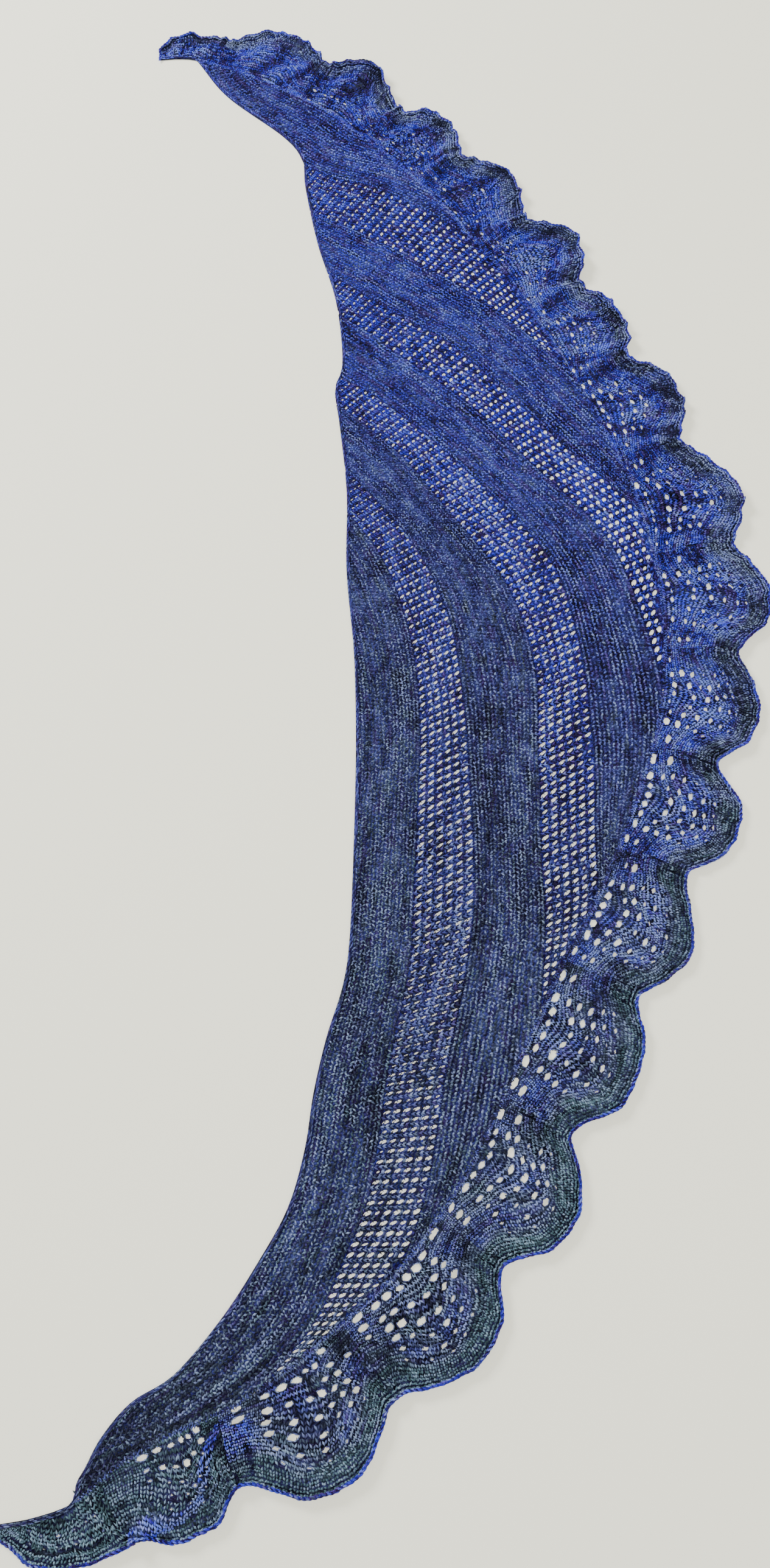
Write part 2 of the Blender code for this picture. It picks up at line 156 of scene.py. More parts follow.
def neck_at(place):
    """The neck edge of the body; its lower end bends in to the border's tail."""
    neck = np.stack((through(section["neck_x"], place), through(section["neck_y"], place)), -1)
    near_end = (np.asarray(place, float) - LAST_SECTION + NECK_BEND) / NECK_BEND
    bend = np.clip(near_end, 0, 1)[..., None] ** 2
    return neck + (root_at(place) - neck) * NECK_CLOSE * bend


def on_body(place, share):
    share = np.asarray(share, float)[..., None]
    return neck_at(place) * (1 - share) + root_at(place) * share


def section_length(place):
    return np.linalg.norm(root_at(place) - neck_at(place), axis=-1)


def strip_edges(inner, outer, width):
    """The shares of the section where a strip starts and ends, as functions of the place."""
    def low(place):
        if inner != "neck":
            return through(section[inner], place)
        return np.minimum(0.0, through(section[outer], place) - width / section_length(place))

    def high(place):
        if outer != "root":
            return through(section[outer], place)
        return np.maximum(1.0, through(section[inner], place) + width / section_length(place))

    return low, high


def wide_places(low, high):
    """Fine places where a strip is wide enough to knit, and its middle there."""
    fine = np.linspace(0.0, LAST_SECTION, FINE_STEPS * LAST_SECTION + 1)
    start, end = np.clip(low(fine), 0, 1), np.clip(high(fine), 0, 1)
    wide = (end - start) * section_length(fine) > NARROWEST_STRIP
    return fine[wide], ((start + end) / 2)[wide]


def strip_places(low, high, pitch):
    """Places along a strip, a stitch apart; pitch is in metres, one size or one a place."""
    fine, middle = wide_places(low, high)
    runs = np.linalg.norm(np.diff(on_body(fine, middle), axis=0), axis=1)
    pitches = np.broadcast_to(pitch(fine) if callable(pitch) else pitch, fine.shape)
    counted = np.concatenate(([0.0], np.cumsum(runs / pitches[1:])))
    stitches = max(int(round(counted[-1])), 2)
    return np.interp(np.linspace(0, counted[-1], stitches + 1), counted, fine)


def four_corners(grid):
    """The values at the corners of each cell of a grid, in order round the cell."""
    return grid[:-1, :-1], grid[1:, :-1], grid[1:, 1:], grid[:-1, 1:]


def in_cell(corners, u, v):
    """Points inside cells, at shares u and v of the way from their first corners."""
    a, b, c, d = corners
    return (a * (1 - u) + b * u) * (1 - v) + (d * (1 - u) + c * u) * v


def strip_lattice(places, fractions, low, high, thickness):
    """The top of a strip's cloth, the share and length of the section at each point, and
    which cells lie on the body."""
    p, f = np.meshgrid(places, fractions, indexing="ij")
    share = low(p) * (1 - f) + high(p) * f
    length = section_length(p)
    inset = SEAM_GAP / 2 / length
    held = np.clip(share, inset, 1 - inset)
    flat = on_body(p, held + SEAM_CREEP * (share - held))
    top = np.concatenate((flat, np.full((*flat.shape[:2], 1), thickness)), -1)
    kept = np.logical_or.reduce(four_corners((share > 0) & (share < 1)))
    return top, share, length, kept


def unit(vector):
    return vector / np.linalg.norm(vector, axis=-1, keepdims=True)


def in_scene(name, data):
    """Put a mesh, lamp or camera in the scene."""
    obj = bpy.data.objects.new(name, data)
    bpy.context.scene.collection.objects.link(obj)
    return obj


def woven(name, mesh, spots, material):
    """Give a mesh its wool and each of its points a place in the weave."""
    layer = mesh.uv_layers.new(name="weave")
    corners = np.empty(len(mesh.loops), dtype=np.int32)
    mesh.loops.foreach_get("vertex_index", corners)
    layer.data.foreach_set("uv", spots[corners].astype(np.float32).ravel())
    mesh.materials.append(material)
    return in_scene(name, mesh)


def shell(name, top, thickness, kept, weave, material, gaps=None):
    """A closed cloth on a lattice of points.

    kept says which cells are cloth. gaps gives the cells with a hole, and eight points
    round each hole as shares of its cell along and across.
    """
    points, spots = top.reshape(-1, 3), weave.reshape(-1, 2)
    a, b, c, d = four_corners(np.arange(len(points)).reshape(top.shape[:2]))
    cells = np.stack((a, b, c, d), -1)
    gap = np.zeros(kept.shape, bool) if gaps is None else gaps[0] & kept
    tops, threes, walls = cells[kept & ~gap], [np.empty((0, 3), int)], []
    if gap.any():
        u, v = (np.clip(part[gap], 0.02, 0.98)[..., None] for part in gaps[1:])
        corners = cells[gap]
        ring = len(points) + np.arange(HOLE_POINTS * len(corners)).reshape(-1, HOLE_POINTS)
        points, spots = (
            np.concatenate((
                given, in_cell([given[corners[:, k]][:, None] for k in range(4)], u, v).reshape(-1, size)
            ))
            for given, size in ((points, 3), (spots, 2))
        )
        # Three faces fill the cell from each of its corners to the ring
        for k, m in ((0, 5), (1, 7), (2, 1), (3, 3)):
            corner, ahead = corners[:, k], corners[:, (k + 1) % 4]
            before, own, after = ring[:, m - 1], ring[:, m], ring[:, (m + 1) % HOLE_POINTS]
            threes += [
                np.stack((corner, own, before), -1), np.stack((corner, after, own), -1),
                np.stack((corner, ahead, after), -1),
            ]
        walls += [
            np.stack((ring[:, k], ring[:, (k + 1) % HOLE_POINTS]), -1) for k in range(HOLE_POINTS)
        ]
    padded = np.pad(kept, 1)
    for beside, first, last in (
        (padded[1:-1, :-2], b, a), (padded[1:-1, 2:], d, c),
        (padded[:-2, 1:-1], a, d), (padded[2:, 1:-1], c, b),
    ):
        edge = kept & ~beside
        walls.append(np.stack((first[edge], last[edge]), -1))
    walls, threes = np.concatenate(walls), np.concatenate(threes)
    under = len(points)
    points = np.concatenate((points, points - UP * thickness))
    spots = np.concatenate((spots, spots))
    walls = np.column_stack((walls, walls[:, ::-1] + under))
    fours = np.concatenate((tops, tops[:, ::-1] + under, walls))
    threes = np.concatenate((threes, threes[:, ::-1] + under))
    first = points[tops[0]]
    if np.cross(first[1] - first[0], first[3] - first[0])[2] < 0:
        fours, threes = fours[:, ::-1], threes[:, ::-1]
    used = np.unique(np.concatenate((fours.ravel(), threes.ravel())))
    place = np.zeros(len(points), int)
    place[used] = np.arange(len(used))
    mesh = bpy.data.meshes.new(name)
    mesh.from_pydata(points[used].tolist(), [], place[fours].tolist() + place[threes].tolist())
    return woven(name, mesh, spots[used], material)


def turned(forward, normal):
    """Euler angles that lay a loop along forward, with its crown along normal."""
    x = unit(forward)
    y = unit(np.cross(normal, x))
    z = np.cross(x, y)
    return np.stack(
        (
            np.arctan2(y[..., 2], z[..., 2]),
            -np.arcsin(np.clip(x[..., 2], -1, 1)),
            np.arctan2(x[..., 1], x[..., 0]),
        ),
        -1,
    )


def add_sockets(tree, side, kind, values):
    """Name the sockets of a tree, with what each holds where nothing is given."""
    for name, value in values.items():
        made = tree.interface.new_socket(name, in_out=side, socket_type="NodeSocket" + kind)
        if value is not None:
            made.default_value = value


def bench(tree):
    """Two hands for a tree: node adds a node and gives its outputs, maths does one sum."""
    def node(kind, inputs=(), **settings):
        made = tree.nodes.new(kind)
        for key, value in settings.items():
            setattr(made, key, value)
        for key, value in dict(inputs).items():
            if hasattr(value, "links"):
                tree.links.new(value, made.inputs[key])
            else:
                made.inputs[key].default_value = value
        return made.outputs

    def maths(operation, *values, clamp=False):
        return node("ShaderNodeMath", enumerate(values), operation=operation, use_clamp=clamp)[0]

    return node, maths


def loop_tree(name, material):
    """Lay one loop of yarn on each point, turned and sized by the point's own values."""
    tree = bpy.data.node_groups.new(name, "GeometryNodeTree")
    add_sockets(tree, "INPUT", "Geometry", {"Geometry": None})
    add_sockets(tree, "INPUT", "Float", {
        "Loop Length": 0.0048, "Yarn Width": YARN, "Bow": 0.0, "Rise": 0.0010, "Unevenness": 0.12,
    })
    add_sockets(tree, "INPUT", "Int", {"Bends": 3, "Seed": 7})
    add_sockets(tree, "OUTPUT", "Geometry", {"Geometry": None})
    node, maths = bench(tree)
    given = node("NodeGroupInput")

    # A bowed length of yarn, thin at both ends where it dives into the cloth
    half = maths("MULTIPLY", given["Loop Length"], 0.5)
    start, middle, end = (
        node("ShaderNodeCombineXYZ", {"X": maths("MULTIPLY", half, sign), "Y": bow, "Z": rise})[0]
        for sign, bow, rise in ((-1.0, 0.0, 0.0), (0.0, given["Bow"], given["Rise"]), (1.0, 0.0, 0.0))
    )
    arc = node("GeometryNodeCurveQuadraticBezier", {
        "Resolution": 12, "Start": start, "Middle": middle, "End": end,
    })
    few = node("GeometryNodeResampleCurve", {"Curve": arc[0], "Count": given["Bends"]})
    way = node("GeometryNodeSplineParameter")["Factor"]
    off = maths("MULTIPLY", maths("ABSOLUTE", maths("SUBTRACT", way, 0.5)), 2.0)
    slim = maths("SUBTRACT", 1.0, maths("POWER", off, 2.5))
    ring = node("GeometryNodeCurvePrimitiveCircle", {
        "Resolution": 4, "Radius": maths("MULTIPLY", given["Yarn Width"], 0.5),
    })
    along, around = (
        node("GeometryNodeStoreNamedAttribute", {
            "Name": key, "Geometry": curve[0], "Value": factor,
        }, data_type="FLOAT", domain="POINT")[0]
        for key, curve, factor in (
            ("along", few, way), ("around", ring, node("GeometryNodeSplineParameter")["Factor"]),
        )
    )
    tube = node("GeometryNodeCurveToMesh", {"Curve": along, "Profile Curve": around, "Scale": slim})
    tips = node("GeometryNodeMergeByDistance", {"Geometry": tube[0], "Distance": 0.00005})
    smooth = node("GeometryNodeSetShadeSmooth", {"Geometry": tips[0]})

    # One on each point, none quite the size of the next
    turn, size = (
        node("GeometryNodeInputNamedAttribute", {"Name": key}, data_type="FLOAT_VECTOR")[0]
        for key in ("turn", "size")
    )
    chance = node("FunctionNodeRandomValue", {
        2: maths("SUBTRACT", 1.0, given["Unevenness"]), 3: maths("ADD", 1.0, given["Unevenness"]),
        "Seed": given["Seed"],
    }, data_type="FLOAT")
    placed = node("GeometryNodeInstanceOnPoints", {
        "Points": given["Geometry"], "Instance": smooth[0],
        "Rotation": node("FunctionNodeEulerToRotation", {0: turn})[0],
        "Scale": node("ShaderNodeVectorMath", {0: size, "Scale": chance[1]}, operation="SCALE")[0],
    })
    real = node("GeometryNodeRealizeInstances", {"Geometry": placed[0]})
    finish = node("GeometryNodeSetMaterial", {"Geometry": real[0], "Material": material})
    node("NodeGroupOutput", {0: finish[0]})
    return tree


def stitch_set(at, turn, size, run, row, blue, pale, good=slice(None)):
    """What the loops of a set need, for the good ones. One number stands for them all, and
    one angle is a turn on the flat."""
    n = len(at)
    if np.ndim(turn) == 1:
        turn = np.column_stack((np.zeros((n, 2)), turn))
    values = {"at": at, "turn": turn, "size": np.column_stack([np.broadcast_to(s, n) for s in size])}
    for key, value in (("run", run), ("row", row), ("blue", blue), ("pale", pale)):
        values[key] = np.broadcast_to(value, n)
    return {key: value[good] for key, value in values.items()}


def loops(name, tree, groups, **sizes):
    """The loops of yarn of all the groups, as one plain mesh."""
    points = {key: np.concatenate([group[key] for group in groups]) for key in groups[0]}
    mesh = bpy.data.meshes.new(name + " points")
    mesh.from_pydata(points.pop("at").tolist(), [], [])
    for key, values in points.items():
        kind, part = ("FLOAT_VECTOR", "vector") if values.ndim == 2 else ("FLOAT", "value")
        layer = mesh.attributes.new(key, kind, "POINT")
        layer.data.foreach_set(part, np.ascontiguousarray(values, dtype=np.float32).ravel())
    source = in_scene(name + " points", mesh)
    modifier = source.modifiers.new("loops", "NODES")
    modifier.node_group = tree
    for item in tree.interface.items_tree:
        key = item.name.lower().replace(" ", "_")
        if item.in_out == "INPUT" and key in sizes:
            modifier[item.identifier] = sizes[key]
    bpy.context.view_layer.update()
    graph = bpy.context.evaluated_depsgraph_get()
    made = bpy.data.meshes.new_from_object(
        source.evaluated_get(graph), preserve_all_data_layers=True, depsgraph=graph
    )
    made.name = name
    for extra in ("turn", "size"):
        if extra in made.attributes:
            made.attributes.remove(made.attributes[extra])
    bpy.data.objects.remove(source, do_unlink=True)
    bpy.data.meshes.remove(mesh)
    return in_scene(name, made)


def dye_group():
    """Hand-dyed wool: the colour changes along the yarn, and from one loop to the next."""
    group = bpy.data.node_groups.new("hand-dyed wool", "ShaderNodeTree")
    add_sockets(group, "INPUT", "Float", {
        "Run": 0.0, "Row": 0.0, "Blue": 0.5, "Pale": 0.0, "Patch Length": 0.03, "Contrast": 1.0,
    })
    add_sockets(group, "OUTPUT", "Color", {"Color": None})
    node, maths = bench(group)
    given = node("NodeGroupInput")

    def noise(run, run_scale, row_scale, place, detail):
        spot = node("ShaderNodeCombineXYZ", {
            "X": maths("MULTIPLY", run, run_scale),
            "Y": maths("MULTIPLY", given["Row"], row_scale), "Z": place,
        })[0]
        return node("ShaderNodeTexNoise", {
            "Vector": spot, "Scale": 1.0, "Detail": detail, "Roughness": 0.6,
        })["Fac"]

    def dyed(dye):
        made = group.nodes.new("ShaderNodeValToRGB")
        bar = made.color_ramp
        while len(bar.elements) > 1:
            bar.elements.remove(bar.elements[-1])
        bar.elements[0].position, bar.elements[0].color = dye[0][0], (*dye[0][1], 1.0)
        for position, colour in dye[1:]:
            bar.elements.new(position).color = (*colour, 1.0)
        group.links.new(level, made.inputs["Fac"])
        return made.outputs["Color"]

    def mix(factor, first, second):
        return node("ShaderNodeMix", {0: factor, 6: first, 7: second}, data_type="RGBA")[2]

    patches = maths("DIVIDE", given["Run"], given["Patch Length"])
    streak = noise(patches, 1.0, 0.30, 3.0, 2.0)
    cloud = noise(patches, 0.22, 0.05, 11.0, 1.0)
    fleck = noise(given["Run"], 260.0, 2.7, 23.0, 1.0)
    hue = noise(given["Run"], 45.0, 0.5, 41.0, 1.5)
    mixed = maths("ADD", streak, maths("MULTIPLY", cloud, 0.8))
    mixed = maths("SUBTRACT", maths("ADD", mixed, maths("MULTIPLY", fleck, 0.7)), 1.25)
    level = maths("ADD", maths("MULTIPLY_ADD", mixed, given["Contrast"], 0.5), given["Pale"])

    # Blue chooses between the bright dyes and the muted ones, and the hue's own noise
    # shifts that choice from patch to patch; below nothing it turns to teal
    off = maths("SUBTRACT", hue, 0.5)
    between = node("ShaderNodeMapRange", {"From Min": 0.49, "From Max": 0.63, "Value": hue})[0]
    bright = mix(between, dyed(DYES["royal"]), dyed(DYES["indigo"]))
    green = maths("MULTIPLY_ADD", given["Blue"], -2.2, maths("MULTIPLY", off, -3.0), clamp=True)
    dull = mix(green, dyed(DYES["muted"]), dyed(DYES["teal"]))
    share = maths("ADD", given["Blue"], maths("MULTIPLY", off, 2.0), clamp=True)
    node("NodeGroupOutput", {"Color": mix(share, dull, bright)})
    return group


wool_dye = dye_group()


def wool_material(name, finish):
    """A new material with the even part of its finish, and the bench for the rest."""
    material = bpy.data.materials.new(name)
    material.use_nodes = True
    for key, value in finish.items():
        material.node_tree.nodes["Principled BSDF"].inputs[key].default_value = value
    return material, *bench(material.node_tree)


def worked_up(material, node, dyed, level, height, strength, depth):
    """Darken the dyed colour by a level of painted shade, and raise the surface by a height."""
    shader = material.node_tree.nodes["Principled BSDF"].inputs
    grey = node("ShaderNodeCombineColor", {"Red": level, "Green": level, "Blue": level})[0]
    shown = node("ShaderNodeMix", {0: 1.0, 6: dyed, 7: grey}, data_type="RGBA", blend_type="MULTIPLY")
    bump = node("ShaderNodeBump", {"Strength": strength, "Distance": depth, "Height": height})
    material.node_tree.links.new(shown[2], shader["Base Color"])
    material.node_tree.links.new(bump["Normal"], shader["Normal"])
    return material


def yarn_material(name, patch, contrast):
    """Two-ply wool on the loops: dyed colour with painted shade at the loop ends and in the ply grooves, ply
    twist and fuzz.
    """
    material, node, maths = wool_material(name, {
        "Roughness": 0.82, "Specular IOR Level": 0.12, "Sheen Weight": 0.10,
        "Sheen Roughness": 0.5, "Sheen Tint": (0.45, 0.55, 1.0, 1.0),
    })
    value = {
        key: node("ShaderNodeAttribute", attribute_name=key)["Fac"]
        for key in ("run", "row", "blue", "pale", "along", "around")
    }
    dyed = node("ShaderNodeGroup", {
        "Run": value["run"], "Row": value["row"], "Blue": value["blue"], "Pale": value["pale"],
        "Patch Length": patch, "Contrast": contrast,
    }, node_tree=wool_dye)["Color"]
    twist = maths("ADD", maths("MULTIPLY", value["along"], 18.8), maths("MULTIPLY", value["around"], 12.57))
    ply = maths("MULTIPLY_ADD", maths("SINE", twist), 0.5, 0.5)
    off = maths("ABSOLUTE", maths("MULTIPLY", maths("SUBTRACT", value["along"], 0.5), 2.0))
    # Painted shade: each loop is darker towards both ends, where the yarn dives into the cloth, and in the
    # grooves of its ply twist
    dive_shade = maths("SUBTRACT", 1.0, maths("MULTIPLY", maths("POWER", off, 2.5), 0.42))
    ply_groove_shade = maths("SUBTRACT", 1.0, maths("MULTIPLY", maths("SUBTRACT", 1.0, ply), 0.10))
    place = node("ShaderNodeTexCoord")["Object"]
    fuzz = node("ShaderNodeTexNoise", {"Vector": place, "Scale": 1400.0, "Detail": 3.0})["Fac"]
    height = maths("ADD", maths("MULTIPLY", ply, 0.6), maths("MULTIPLY", fuzz, 0.5))
    level = maths("MULTIPLY", dive_shade, ply_groove_shade)
    return worked_up(material, node, dyed, level, height, strength=0.5, depth=0.0003)


def cloth_material(name, blue, shade):
    """The cloth behind the loops, as bumps in rows: the backs of the stitches, darkened by shade as painted
    shade between the loops.
    """
    material, node, maths = wool_material(name, {"Roughness": 0.9, "Specular IOR Level": 0.05})
    weave = node("ShaderNodeUVMap", uv_map="weave")[0]
    spot = node("ShaderNodeSeparateXYZ", {0: weave})
    dyed = node("ShaderNodeGroup", {
        "Run": maths("MULTIPLY", spot["X"], PLAIN_STITCH), "Row": spot["Y"], "Blue": blue, "Pale": -0.10,
    }, node_tree=wool_dye)["Color"]
    columns = maths("COSINE", maths("MULTIPLY", spot["X"], 6.2832))
    ridges = maths("COSINE", maths("MULTIPLY", spot["Y"], 3.1416))
    height = maths("MULTIPLY_ADD", maths("MULTIPLY", columns, ridges), 0.5, 0.5)
    # Painted shade: the cloth keeps only part of its dyed colour, and less still in the hollows between its
    # bumps
    level = maths("ADD", maths("MULTIPLY", height, shade * 0.6), shade * 0.5)
    return worked_up(material, node, dyed, level, height, strength=0.7, depth=0.0008)


def stands_for(pieces, node=None):
    """The pieces ride on the shawl and stand for the node."""
    for piece in pieces:
        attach(piece, "root")
        if node:
            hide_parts(node)


def laid_in(cloth, on_it, node, first, last):
    """The cloth with what is on it, riding on the shawl and standing for the node.

    Its greatest width, the length of its mid-line and its area are worked out but not used.
    first and last are its two long sides.
    """
    stands_for((cloth, *on_it), node)
    wide = np.linalg.norm(last - first, axis=1).max()
    middle = (first + last) / 2
    long = np.linalg.norm(np.diff(middle, axis=0), axis=1).sum()
    area = sum(face.area for face in cloth.data.polygons) / 2
    area = float(np.clip(area, 0.3 * wide * long, wide * long))


plain_wool = yarn_material("plain stripe wool", 0.022, 0.8)
plain_back = cloth_material("plain stripe back", 0.4, 0.60)
plain_loops = loop_tree("loops of a ridge", plain_wool)
luck = np.random.default_rng(41)

for order, (node_name, inner, outer, ridges, width, blue) in enumerate(STRIPES):
    low, high = strip_edges(inner, outer, width)
    places = strip_places(low, high, PLAIN_STITCH)
    half_places = places[::2] if len(places) % 2 else np.append(places[::2], places[-1])
    top, share, length, kept = strip_lattice(
        half_places, np.linspace(0, 1, ridges + 1), low, high, PLAIN_CLOTH
    )
    weave = np.meshgrid(np.arange(len(half_places)) * 2.0, np.arange(ridges + 1) * 2.0, indexing="ij")
    cloth = shell(node_name + "_cloth", top, PLAIN_CLOTH, kept, np.stack(weave, -1), plain_back)

    groups = []
    count = len(places) - 1
    for row in range(2 * ridges):
        index = np.arange(count) + (0.5 if row % 2 else 0.0)
        starts, ends = (np.interp(spot, np.arange(count + 1), places) for spot in (index, index + 1))
        fraction = (row + 0.5) / (2 * ridges)
        share_a, share_b = (low(p) * (1 - fraction) + high(p) * fraction for p in (starts, ends))
        a, b = on_body(starts, share_a), on_body(ends, share_b)
        middle, run = (a + b) / 2, b - a
        wide = np.linalg.norm(run, axis=1)
        length = section_length(starts)
        deep = (high(starts) - low(starts)) * length / (2 * ridges)
        across = (share_a + share_b) / 2
        good = (across > 0.0030 / length) & (across < 1 - 0.0004 / length)
        good &= (wide > 0.001) & (deep > 0.0012)
        # The wool is darker towards both tips
        tips = 0.12 * np.exp(-((starts / 2.2) ** 2))
        tips += 0.20 * np.exp(-(((LAST_SECTION - starts) / 4.0) ** 2))
        lean = 0.85 if row % 2 else -0.85
        # Each stitch shows a long bump, and a short one below it that leans the other way; the short one is
        # painted darker as shade
        for part, slant, shift, long, drop in ((0, lean, 0.0, 1.0, 0.0), (1, -0.75 * lean, 0.5, 0.78, 0.0003)):
            spot = middle + run * shift + luck.normal(0, 0.00042, middle.shape)
            height = PLAIN_CLOTH + LOOP_SINK - drop + luck.normal(0, 0.00012, count)
            groups.append(stitch_set(
                at=np.column_stack((spot, height)),
                turn=np.arctan2(run[:, 1], run[:, 0]) + slant + luck.normal(0, 0.28, count),
                size=(np.clip(wide / PLAIN_STITCH, 0.5, 1.3) * long, np.clip(deep / PLAIN_ROW, 0.5, 1.2), 1.0),
                run=index * PLAIN_STITCH + 0.031 * row + 3.7 * order,
                row=row + 40.0 * order,
                blue=through(blue, 2 * index / count),
                pale=0.10 - 0.10 * part - tips + luck.normal(0, 0.12, count),
                good=good,
            ))
    stitches = loops(
        node_name + "_loops", plain_loops, groups,
        loop_length=0.0054, yarn_width=YARN, bow=0.0003, rise=0.0010, bends=3, seed=11 + order,
    )
    laid_in(cloth, [stitches], node_name, top[:, 0, :2], top[:, -1, :2])


# Mesh bands. Four bands of open eyelet mesh in the same wool: a chain of slanted stitches,
# then a yarn-over that leaves a hole, again and again. Bars of yarn part one hole from the
# next. They are knitted on between the plain stripes.
MESH_CLOTH = 0.0009
MESH_LOOP = 0.0050
BAR_SHARE = 0.18
HOLE_SLANT = -0.50
HOLE_EDGE = 0.002

# The sides of each band, its holes from side to side, how far apart they are along it, how
# much of that is open, and how blue its wool is, each from the upper end to the lower
MESHES = (
    ("mesh_band_1", "d_in", "d_out", 9, (0.0125, 0.0115, 0.0105), (0.20, 0.34, 0.46, 0.58), (1.2, 1.3, 1.2)),
    ("mesh_band_2", "c_in", "c_out", 6, (0.0120, 0.0112, 0.0105), (0.24, 0.40, 0.50, 0.68), (1.3, 1.3, 1.05)),
    ("mesh_band_3", "b_in", "b_out", 6, (0.0120, 0.0092, 0.0095), (0.28, 0.38, 0.48, 0.56), (1.1, 0.95, 0.20)),
    (
        "mesh_band_4", "a_in", "a_out", 6, (0.0100, 0.0085, 0.0105),
        (0.18, 0.38, 0.48, 0.44, 0.28, 0.50, 0.58), (0.9, 0.4, 0.0),
    ),
)
# The legs of a stitch in the chain: how far each is to the side, its slant and its depth; deeper legs are
# painted darker as shade
CHAIN_LEGS = ((-0.13, 0.50, 0.0), (0.13, 0.50, 0.0), (-0.40, 0.85, 0.0004), (0.40, 0.85, 0.0004))

mesh_wool = yarn_material("mesh band wool", 0.022, 1.0)
mesh_back = cloth_material("mesh band back", 0.7, 0.45)
mesh_loops = loop_tree("legs of a stitch", mesh_wool)

